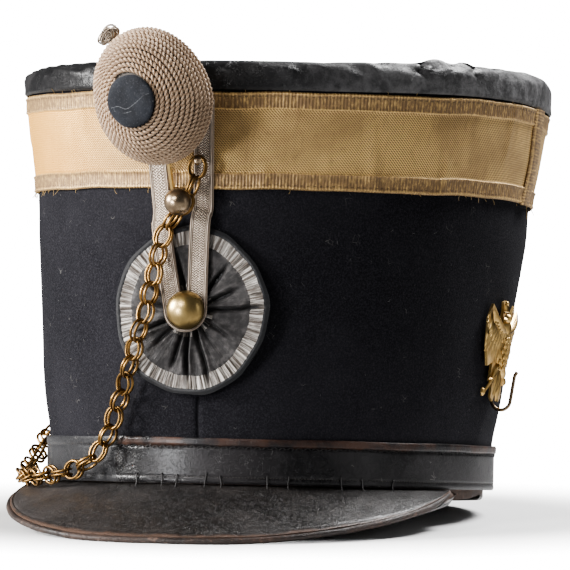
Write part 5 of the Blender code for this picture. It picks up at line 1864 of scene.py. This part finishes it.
    def build_velvet(self, matrix: Matrix) -> None:
        """Velvet disc with a soft edge and a crease."""
        disc = new_disc("velvet_disc", 72)
        for inset in (0.04, 0.05, 0.08, 0.13, 0.17, 0.22):
            in_edit_mode(disc, lambda: bpy.ops.mesh.select_mode(type="FACE"),
                         lambda: bpy.ops.mesh.select_all(action="DESELECT"))
            max(disc.data.polygons, key=lambda face: len(face.vertices)).select = True
            bpy.ops.object.mode_set(mode="EDIT")
            bpy.ops.mesh.inset(thickness=inset, depth=0.0)
            bpy.ops.object.mode_set(mode="OBJECT")
        modify(disc, "TRIANGULATE")
        flat = coordinates(disc)
        reach = np.hypot(flat[:, 0], flat[:, 1])
        flat[:, 2] = self.velvet_thickness * (0.35 + 0.65 * np.sqrt(np.clip(1.0 - reach ** 4, 0.0, 1.0)))
        ragged = 1.0 + 0.012 * np.sin(np.arctan2(flat[:, 1], flat[:, 0]) * 6.0)
        flat[:, 0] *= self.velvet * ragged
        flat[:, 1] *= self.velvet * ragged
        flat[:, 2] += 0.12 * MM * ripple(flat[:, 0], flat[:, 1], 91, 6 * MM)
        put_coordinates(disc, flat)
        wall(disc, 0.5 * MM)
        move(disc, matrix @ Matrix.Translation((0.0, 0.0, self.front + GAP)))
        hand_over(disc, BlackVelvet("black_velvet", sheen=0.18, specular=0.3), Slot.VELVET, "badge_velvet")
        high = self.front + GAP + self.velvet_thickness
        marks = [
            [(-8.0, -2.6), (-5.0, -1.9), (-1.5, -2.8), (2.0, -0.9), (6.0, 2.2), (8.2, 3.0)],
            [(-6.8, -3.6), (-3.0, -4.4), (0.6, -3.7)],
        ]
        routes = []
        for mark in marks:
            spots = [(x * MM, y * MM, high - 0.12 * MM - 0.00004 * (x * x + y * y) / 10.0) for x, y in mark]
            routes.append(apply_matrix(matrix, smooth_route(spots, 26)))
        rubbed = CordThread("velvet_crease", bright=(0.105, 0.11, 0.12), dark=(0.022, 0.024, 0.030),
                            fibre=1500.0)
        hand_over(wires("velvet_creases", routes, 0.22 * MM, 1), rubbed, Slot.VELVET)

    def build_knot(self, matrix: Matrix) -> None:
        """Knot of wire loops and frayed ends at the badge's upper edge."""
        turn = math.radians(self.knot_degrees)
        edge = np.array([[self.half_width * math.cos(turn), self.half_height * math.sin(turn), 0.0]])
        edge = self.lean_over(edge)[0]
        normal = edge / np.linalg.norm(edge)
        along = np.array([-normal[1], normal[0], 0.0])
        centre = edge + normal * self.knot_stand_off
        draw = np.random.default_rng(23)
        loops = []
        around = np.linspace(0.0, math.tau, 22)[:-1, None]
        for _ in range(self.knot_loops):
            size = draw.uniform(1.9, 3.7) * MM
            lift = draw.uniform(0.7, 1.1)
            axis = np.array([draw.uniform(-0.6, 0.6), draw.uniform(-0.6, 0.6), 1.0])
            first = along + axis * draw.uniform(-0.5, 0.5)
            second = normal * lift + np.array([0.0, 0.0, draw.uniform(-0.7, 0.7)])
            middle = centre + along * draw.uniform(-1.8, 1.8) * MM + normal * draw.uniform(-0.8, 0.8) * MM
            loops.append(apply_matrix(matrix, middle + size * (
                first * np.cos(around) + second * 0.62 * np.sin(around))))
        item = wires("badge_knot_loops", loops, self.knot_wire, 1, closed=True)
        wire = OldBrass("knot_wire", bright=(0.43, 0.38, 0.32), dull=(0.21, 0.17, 0.135), smooth=0.3,
                        rough=0.5, hollows=0.6)
        hand_over(item, wire, Slot.SILVER_CORD, "badge_knot")
        ends = []
        for _ in range(self.knot_ends):
            start = centre + along * draw.uniform(-3.0, 2.6) * MM - normal * draw.uniform(0.0, 3.0) * MM
            way = normal * draw.uniform(0.1, 1.0) - along * draw.uniform(-0.7, 1.2)
            way = way + np.array([0.0, 0.0, draw.uniform(-0.2, 0.9)])
            end = start + way * draw.uniform(1.6, 3.6) * MM
            bent = (start + end) / 2.0 + along * draw.uniform(-0.8, 0.8) * MM
            ends.append(apply_matrix(matrix, smooth_route([start, bent, end], 8)))
        thread = CordThread("knot_thread", bright=(0.50, 0.43, 0.35), dark=(0.15, 0.115, 0.09))
        hand_over(wires("badge_knot_ends", ends, self.end_wire, 1), thread, Slot.SILVER_CORD)


# Sides: eagles, hook, eye and the chain


@dataclass
class Eagle:
    """Stamped spread eagle over a cut-out plate, with crown, sceptre and feathers.

    Args:
        node: name of the CAD node that it replaces.
        degrees: where it sits round the crown.
    """

    node: str
    degrees: float
    form: CrownForm = FORM
    height: float = 54.0 * MM
    half_width: float = 17.0 * MM
    half_height: float = 20.0 * MM
    plate: float = 1.6 * MM
    seed: int = 5
    outline: tuple = (
        (0.0, 0.98), (0.2, 0.95), (0.17, 0.72), (0.24, 0.5), (0.48, 0.72), (0.8, 0.9), (0.99, 0.62),
        (0.93, 0.1),
        (0.78, -0.30), (0.5, -0.22), (0.55, -0.60), (0.36, -0.5), (0.38, -0.90), (0.22, -0.98), (0.12, -0.8),
        (0.0, -0.8),
    )

    @property
    def base(self) -> float:
        """Height of the plate's face below the raised parts."""
        return self.plate - 0.3 * MM

    def blade(self, name: str, start: Sequence[float], end: Sequence[float], width: float, low: float,
              high: float, bend: float = 0.0, hand: float = 1.0) -> Piece:
        """One raised leaf, feather or limb, from start to end, in millimetres.

        Args:
            name: name of the piece.
            start: x and y of its root.
            end: x and y of its tip.
            width: greatest width.
            low: height of its edge above the base.
            high: height of its spine above the base.
            bend: sideways bow of its middle.
            hand: 1, or -1 for the mirrored one.
        """
        item = cut_flat(name, 6, 10, width * MM, width * MM)
        first, last = (np.array(spot) * (hand * MM, MM) for spot in (start, end))
        way = last - first
        side = np.array([-way[1], way[0]]) / max(float(np.hypot(*way)), 1.0e-6)

        def place(x: Array, y: Array) -> Array:
            """Leaf with a spine, narrow at both ends."""
            share = np.sin(math.pi * np.clip(0.16 + 0.80 * y, 0.0, 1.0)) ** 0.6
            across = ((x - 0.5) * share * width + hand * bend * np.sin(math.pi * y)) * MM
            ridge = (1.0 - np.abs(2.0 * x - 1.0) ** 1.6) * share
            spot = first + way * y[:, None] + side * across[:, None]
            return np.column_stack([spot, self.base + (low + (high - low) * ridge) * MM])

        shape(item, place)
        return item

    def dome(self, name: str, centre: Sequence[float], size: Sequence[float], low: float) -> Piece:
        """One raised oval, in millimetres above the base."""
        item = new_ball(name, 20, 14)
        flat = coordinates(item) * np.array(size)
        flat[:, 2] = np.maximum(flat[:, 2], -0.3) + low
        flat[:, 0:2] += np.array(centre)
        put_coordinates(item, flat * MM + (0.0, 0.0, self.base))
        return item

    def wing(self, hand: float) -> list:
        """Three rows of feathers of one wing, at positive x for hand 1, else mirrored."""
        draw = np.random.default_rng(self.seed)
        parts = []
        rows = (
            (9, (3.2, 7.0), (12.8, 12.5), 13.8, 3.3, -18.0, 0.5, 0.9),
            (8, (3.0, 7.4), (10.6, 11.6), 8.4, 2.9, -14.0, 1.2, 1.7),
            (7, (3.0, 8.4), (10.0, 12.8), 4.6, 2.5, -10.0, 2.0, 2.4),
        )
        for count, root, shoulder, length, width, sweep, low, high in rows:
            for step in range(count):
                share = step / (count - 1)
                start = np.array(root) + (np.array(shoulder) - np.array(root)) * share
                angle = math.radians(-88.0 + sweep + share * 58.0 + draw.uniform(-2.0, 2.0))
                reach = length * (0.80 + 0.20 * math.sin(math.pi * (0.25 + 0.6 * share)))
                end = start + reach * np.array([math.cos(angle), math.sin(angle)])
                end[0] = min(end[0], 16.6)
                parts.append(self.blade("feather", start, end, width, low, high + 0.5, -0.5, hand))
        parts.append(self.blade("wing_bow", (2.2, 7.2), (14.6, 15.6), 4.4, 1.4, 3.7, -1.4, hand))
        return parts

    def build(self) -> None:
        """Build the plate with its raised parts and wrap it on the crown."""
        right = [(x * self.half_width, y * self.half_height) for x, y in self.outline]
        parts = [self.build_plate(right + [(-x, y) for x, y in reversed(right[1:-1])])]
        for hand in (1.0, -1.0):
            parts += self.wing(hand)
            parts.append(self.blade("leg", (2.6, -5.2), (8.2, -11.2), 3.4, 0.0, 2.4, hand=hand))
            for turn in (-1.5, -0.9, -0.3):
                tip = (8.2 + 2.4 * math.cos(turn), -11.0 + 2.4 * math.sin(turn))
                parts.append(self.blade("claw", (7.4, -10.2), tip, 1.1, 0.6, 1.8, hand=hand))
            for turn, high in ((0.18, 1.7), (0.42, 1.4)):
                tip = (1.0 + 9.4 * math.sin(turn), -8.2 - 11.2 * math.cos(turn))
                parts.append(self.blade("tail_feather", (0.8, -7.0), tip, 2.9, 0.0, high, hand=hand))
        parts.append(self.blade("tail_middle", (0.0, -7.0), (0.0, -16.0), 2.9, 0.0, 2.0))
        parts.append(self.dome("body", (0.0, 0.4), (4.3, 8.6, 4.2), 0.0))
        for row in range(6):
            for spot in range(-2, 3):
                x, y = (spot + 0.5 * (row % 2)) * 1.65, 4.4 - row * 2.1
                if abs(x) < 3.7:
                    high = 4.0 * math.sqrt(max(0.05, 1.0 - (x / 4.6) ** 2 - ((y - 0.4) / 9.4) ** 2))
                    parts.append(self.dome("breast_scale", (x, y), (0.95, 1.25, 0.55), high - 0.25))
        parts.append(self.blade("neck", (0.0, 6.4), (-0.8, 13.2), 4.4, 0.8, 4.0))
        parts.append(self.dome("head", (-1.2, 12.8), (2.1, 1.9, 2.2), 1.9))
        parts.append(self.blade("beak", (-2.2, 12.9), (-5.0, 11.7), 1.7, 1.9, 3.2))
        for x, bend in ((-1.7, -0.4), (0.0, 0.0), (1.7, 0.4)):
            parts.append(self.blade("crown_arch", (x * 0.6, 14.8), (x * 1.1, 18.6), 1.6, 0.0, 2.0, bend))
        parts.append(self.blade("crown_rim", (-2.9, 15.2), (2.9, 15.2), 1.4, 0.4, 2.4))
        parts.append(self.dome("crown_ball", (0.0, 18.6), (0.9, 0.9, 0.9), 0.8))
        parts.append(wires("sceptre", [
            np.array([(-12.9, -16.6, 1.5), (-10.6, -13.8, 2.1), (-8.2, -10.8, 2.6), (-5.6, -7.4, 2.4)]) * MM,
        ], 0.62 * MM, 2))
        parts.append(self.dome("sceptre_head", (-12.9, -16.2), (1.35, 1.6, 1.1), -0.1))
        parts.append(self.blade("orb_cross", (9.6, -13.2), (9.6, -9.8), 1.1, 0.0, 1.8))
        item = join("stamped_" + self.node, parts)
        flat = coordinates(item)
        flat[:, 2] += 0.10 * MM * ripple(flat[:, 0], flat[:, 1], 17, 3 * MM)
        put_coordinates(item, self.wrap(flat))
        finish = OldBrass("stamped_brass", bright=(0.84, 0.585, 0.25), dull=(0.43, 0.28, 0.105), smooth=0.28,
                          rough=0.48, hollows=0.9, soil=95.0)
        hand_over(item, finish, Slot.BRASS, self.node)

    def build_plate(self, ring: Sequence[Sequence[float]]) -> Piece:
        """Flat cut-out plate below the raised parts."""
        plate = new_disc("eagle_plate", len(ring), 0.01)
        flat = np.array([(x, y, self.plate - 0.5 * MM) for x, y in ring])
        put_coordinates(plate, flat)
        modify(plate, "TRIANGULATE")
        wall(plate, self.plate - 0.6 * MM)
        return plate

    def wrap(self, flat: Array) -> Array:
        """Lay flat points on the crown's curve."""
        matrix = self.form.frame(self.degrees, self.height, GAP)
        step = math.radians(1.0)
        arc = (self.form.point(self.degrees + 1.0, self.height, 0.0)
               - self.form.point(self.degrees - 1.0, self.height, 0.0)).length / (2.0 * step)
        bow = flat[:, 0] ** 2 / (2.0 * arc)
        placed = flat.copy()
        placed[:, 2] -= np.minimum(bow, 1.6 * MM)
        return apply_matrix(matrix, placed)


@dataclass
class HookAndEye:
    """Wire hook on the left eagle and wire eye under the right one."""

    form: CrownForm = FORM
    wire: float = 0.70 * MM
    hook_degrees: float = 87.5
    hook_height: float = 54.0 * MM
    hook_bend: float = 3.75
    bend_middle: tuple = (-18.75, 4.65)
    eye_degrees: float = -96.0
    eye_height: float = 32.5 * MM

    def build(self) -> None:
        """Build both wires, from spots in millimetres."""
        left = self.form.frame(self.hook_degrees, self.hook_height, 0.0)
        up, out = self.bend_middle
        turns = np.linspace(math.pi, math.tau, 14)
        spots = [(0.0, -16.9, 0.95)]
        spots += [(0.0, up + self.hook_bend * math.sin(turn), out + self.hook_bend * math.cos(turn))
                  for turn in turns]
        spots += [(0.0, -8.8, 9.0), (0.0, -7.2, 9.8)]
        hook = apply_matrix(left, np.array(spots) * MM)
        right = self.form.frame(self.eye_degrees, self.eye_height, 0.0)
        shape_line = ((-2.6, 0.95), (-2.6, 3.12), (-1.82, 4.68), (0.0, 5.2), (1.82, 4.68), (2.6, 3.12),
                      (2.6, 0.95))
        eye = apply_matrix(right, smooth_route([(x * MM, 0.0, out * MM) for x, out in shape_line], 26))
        dark = OldBrass("dark_wire", bright=(0.26, 0.19, 0.12), dull=(0.10, 0.07, 0.045), smooth=0.28,
                        rough=0.45, hollows=0.2, soil=110.0)
        hand_over(wires("hook_wire", [hook], self.wire, 3), dark, Slot.DARK_BRASS, "chain_hook_left")
        hand_over(wires("eye_wire", [eye], self.wire, 3), dark, Slot.DARK_BRASS, "chain_eye_right")


@dataclass
class Chain:
    """Chain of paired round rings, each pair passing through the next."""

    form: CrownForm = FORM
    pitch: float = 7.4 * MM
    width: float = 6.7 * MM
    wire: float = 0.53 * MM
    spread: float = 0.86 * MM
    overlap: float = 1.15 * MM
    sway: float = 8.0
    sight: float = 16.2
    links_above_stud: int = 2
    links_to_turn: float = 4.0
    stud_degrees: float = -2.75
    stud_height: float = 104.9 * MM
    route: tuple = (
        (0.6, 127, 7), (0, 117.5, 7), (-2.75, 104.9, 6.5), (-5.9, 97.5, 8.6), (-7.4, 88.5, 10.3),
        (-8.7, 78, 10.5), (-10.3, 66.5, 10.5), (-12.7, 54.5, 10.1), (-15.9, 42.5, 8), (-19.3, 31.5, 5.8),
        (-22.4, 21, 6.2), (-25.6, 11.6, 7), (-31.4, 5, 8.6), (-40, 2.3, 10.4), (-51, 1.2, 11.2),
        (-61, 1.5, 10.8), (-70, 3.8, 8.8), (-79, 8.8, 6.9), (-89, 17, 6.4), (-95.6, 26, 5.2),
        (-96, 33.5, 4.7),
    )

    def joints(self) -> Array:
        """Points where neighbouring links meet."""
        spots = [tuple(self.form.point(turn, height * MM, out * MM)) for turn, height, out in self.route]
        fine = smooth_route(spots, 1201)
        length = float(np.linalg.norm(np.diff(fine, axis=0), axis=1).sum())
        line = self.form.frame(self.stud_degrees, self.stud_height, 0.0)
        axis, origin = np.array(line.to_3x3().col[2]), np.array(line.translation)
        third = fine[: len(fine) // 3]
        nearest = int(np.argmin(np.linalg.norm(np.cross(third - origin, axis), axis=1)))
        stud_at = length * nearest / (len(fine) - 1)
        below = round((length - stud_at) / self.pitch - 0.5)
        pitch = (length - stud_at) / (below + 0.5)
        start = stud_at - (self.links_above_stud + 0.5) * pitch
        spots = (start + np.arange(self.links_above_stud + below + 2) * pitch) / length * (len(fine) - 1)
        low = np.clip(spots.astype(int), 0, len(fine) - 2)
        return fine[low] + (fine[low + 1] - fine[low]) * (spots - low)[:, None]

    def roll(self, index: int, last: int, outward: float) -> float:
        """Turn of a link about the chain.

        Args:
            index: number of the link.
            last: number of the last link.
            outward: angle of the wall's direction at the link, in degrees.
        """
        end_turn = 0.0 if (last - self.links_above_stud) % 2 else -90.0
        from_stud = min(max(index - self.links_above_stud, 0) / self.links_to_turn, 1.0)
        to_end = min((last - index) / self.links_to_turn, 1.0)
        free = 45.0 + outward - self.sight
        slant = free * from_stud + (end_turn - free) * (1.0 - to_end)
        return math.radians(90.0 * (index - self.links_above_stud) + slant)

    def build(self) -> None:
        """Build every pair of rings."""
        joints = self.joints()
        draw = np.random.default_rng(41)
        rings = []
        for index, (first, second) in enumerate(zip(joints, joints[1:])):
            middle, along = (first + second) / 2.0, second - first
            reach = float(np.linalg.norm(along))
            along = along / reach
            _, _, set_back = self.form.section(middle[2])
            normal = np.array([middle[0], middle[1] - set_back, 0.0])
            normal -= along * normal.dot(along)
            normal /= np.linalg.norm(normal)
            roll = self.roll(index, len(joints) - 2, math.degrees(math.atan2(normal[0], -normal[1])))
            normal = normal * math.cos(roll) + np.cross(along, normal) * math.sin(roll)
            side = np.cross(normal, along)
            long_half = (reach + self.overlap) / 2.0
            wide_half = self.width / 2.0
            for hand in (-1.0, 1.0):
                lean = math.radians(draw.uniform(-self.sway, self.sway))
                turn = np.linspace(0.0, math.tau, 29)[:-1, None]
                loose = middle + normal * hand * self.spread
                ring = loose + along * long_half * np.cos(turn) + side * wide_half * np.sin(turn)
                ring = ring + normal * (np.sin(turn) * wide_half * math.sin(lean))
                rings.append(ring)
        item = wires("chain_rings", rings, self.wire, 2, closed=True)
        finish = OldBrass("chain_brass", bright=(0.37, 0.222, 0.084), dull=(0.165, 0.098, 0.039), smooth=0.30,
                          rough=0.50, hollows=0.35, soil=85.0)
        hand_over(item, finish, Slot.BRASS, "chain")


# Studio and camera


@dataclass
class Studio:
    """Pale floor, soft lights and the camera that sees the hat as in the photograph."""

    turn: float = 16.213
    rise: float = -1.532
    roll: float = 1.371
    distance: float = 3.312
    aim: tuple = (0.0, 0.0, 0.090)
    lens: float = 537.5
    look: str = "AgX - Medium High Contrast"
    shift: tuple = (0.00419, -0.01215)
    sensor: float = 36.0
    near_far: tuple = (0.1, 20.0)
    floor_radius: float = 1.4
    light_aim: tuple = (0.0, 0.0, 0.08)
    surround_light: float = 0.11
    backdrop_light: float = 9.0

    def axes(self) -> tuple:
        """Right, up and back direction of the camera in the hat's frame."""
        turn, rise, roll = (math.radians(value) for value in (self.turn, self.rise, self.roll))
        back = Vector((math.sin(turn) * math.cos(rise), -math.cos(turn) * math.cos(rise), math.sin(rise)))
        right = Vector((math.cos(turn), math.sin(turn), 0.0))
        up = back.cross(right)
        across = right * math.cos(roll) + up * math.sin(roll)
        return across, up * math.cos(roll) - right * math.sin(roll), back

    def build(self) -> None:
        """Build the floor, the lights and the camera."""
        bpy.context.scene.view_settings.look = self.look
        self.build_floor()
        self.build_lights()
        self.build_camera()

    def build_floor(self) -> None:
        """Large pale floor that fades out towards its edge."""
        floor = new_disc("studio_floor", 96, self.floor_radius)
        floor.data.materials.clear()
        floor.data.materials.append(StudioFloor("pale_floor").material())

    def build_lights(self) -> None:
        """Soft area lights and a bright surround."""
        world = bpy.data.worlds.new("studio_surround")
        bpy.context.scene.world = world
        world.use_nodes = True
        pen = Sketch(world.node_tree)
        output = next(node for node in world.node_tree.nodes if node.type == "OUTPUT_WORLD")
        surround = next(node for node in world.node_tree.nodes if node.type == "BACKGROUND")
        path = pen.put("LightPath")
        surround.inputs["Color"].default_value = (1.0, 1.0, 1.0, 1.0)
        strength = pen.between(path.outputs["Is Camera Ray"], self.surround_light, self.backdrop_light)
        world.node_tree.links.new(strength, surround.inputs["Strength"])
        world.node_tree.links.new(surround.outputs["Background"], output.inputs["Surface"])
        lights = (
            ("key_light", (-1.9, -0.75, 0.75), (0.8, 0.8), 112.0, (1.0, 0.985, 0.965)),
            ("front_light", (-0.9, -1.9, 1.3), (0.7, 0.5), 22.0, (1.0, 0.985, 0.97)),
            ("low_light", (-0.95, -1.55, 0.06), (0.26, 0.22), 15.0, (0.97, 0.98, 1.0)),
            ("top_light", (0.6, 1.1, 1.4), (0.9, 0.6), 70.0, (1.0, 1.0, 1.0)),
            ("rim_light", (1.8, -0.3, 0.5), (0.3, 0.9), 2.3, (0.98, 0.99, 1.0)),
        )
        for name, place, size, power, colour in lights:
            light = bpy.data.lights.new(name, "AREA")
            light.shape = "RECTANGLE"
            light.size, light.size_y = size
            light.energy = power
            light.color = colour
            item = bpy.data.objects.new(name, light)
            bpy.context.scene.collection.objects.link(item)
            direction = Vector(self.light_aim) - Vector(place)
            item.location = place
            item.rotation_euler = direction.to_track_quat("-Z", "Y").to_euler()

    def build_camera(self) -> None:
        """Camera with the place, lens and turn that fit the photograph."""
        across, upward, back = self.axes()
        aim = Vector(self.aim)
        place = aim + back * self.distance
        target = aim + across * self.shift[0] + upward * self.shift[1]
        look = (place - target).normalized()
        side = upward.cross(look).normalized()
        over = look.cross(side)
        turn = Matrix((side, over, look)).transposed().to_4x4()
        camera = bpy.data.cameras.new("photo_camera")
        camera.lens = self.lens
        camera.sensor_width = self.sensor
        camera.clip_start, camera.clip_end = self.near_far
        item = bpy.data.objects.new("photo_camera", camera)
        bpy.context.scene.collection.objects.link(item)
        item.matrix_world = REST @ Matrix.Translation(place) @ turn
        bpy.context.scene.camera = item


def main() -> None:
    """Build every piece in order and report each one."""
    crown = Crown()
    cockade = Cockade()
    pieces = (
        ("crown", crown),
        ("peak", Peak()),
        ("cockade", cockade),
        ("lace loop", LaceLoop(cockade, crown)),
        ("button and stud", Fittings(cockade)),
        ("badge", Badge()),
        ("left eagle", Eagle("side_eagle_left", 87.5)),
        ("right eagle", Eagle("side_eagle_right", -96.0, seed=9)),
        ("hook and eye", HookAndEye()),
        ("chain", Chain()),
        ("studio", Studio()),
    )
    for name, piece in pieces:
        piece.build()
        LOG.info("built %s", name)


if __name__ == "__main__":
    main()
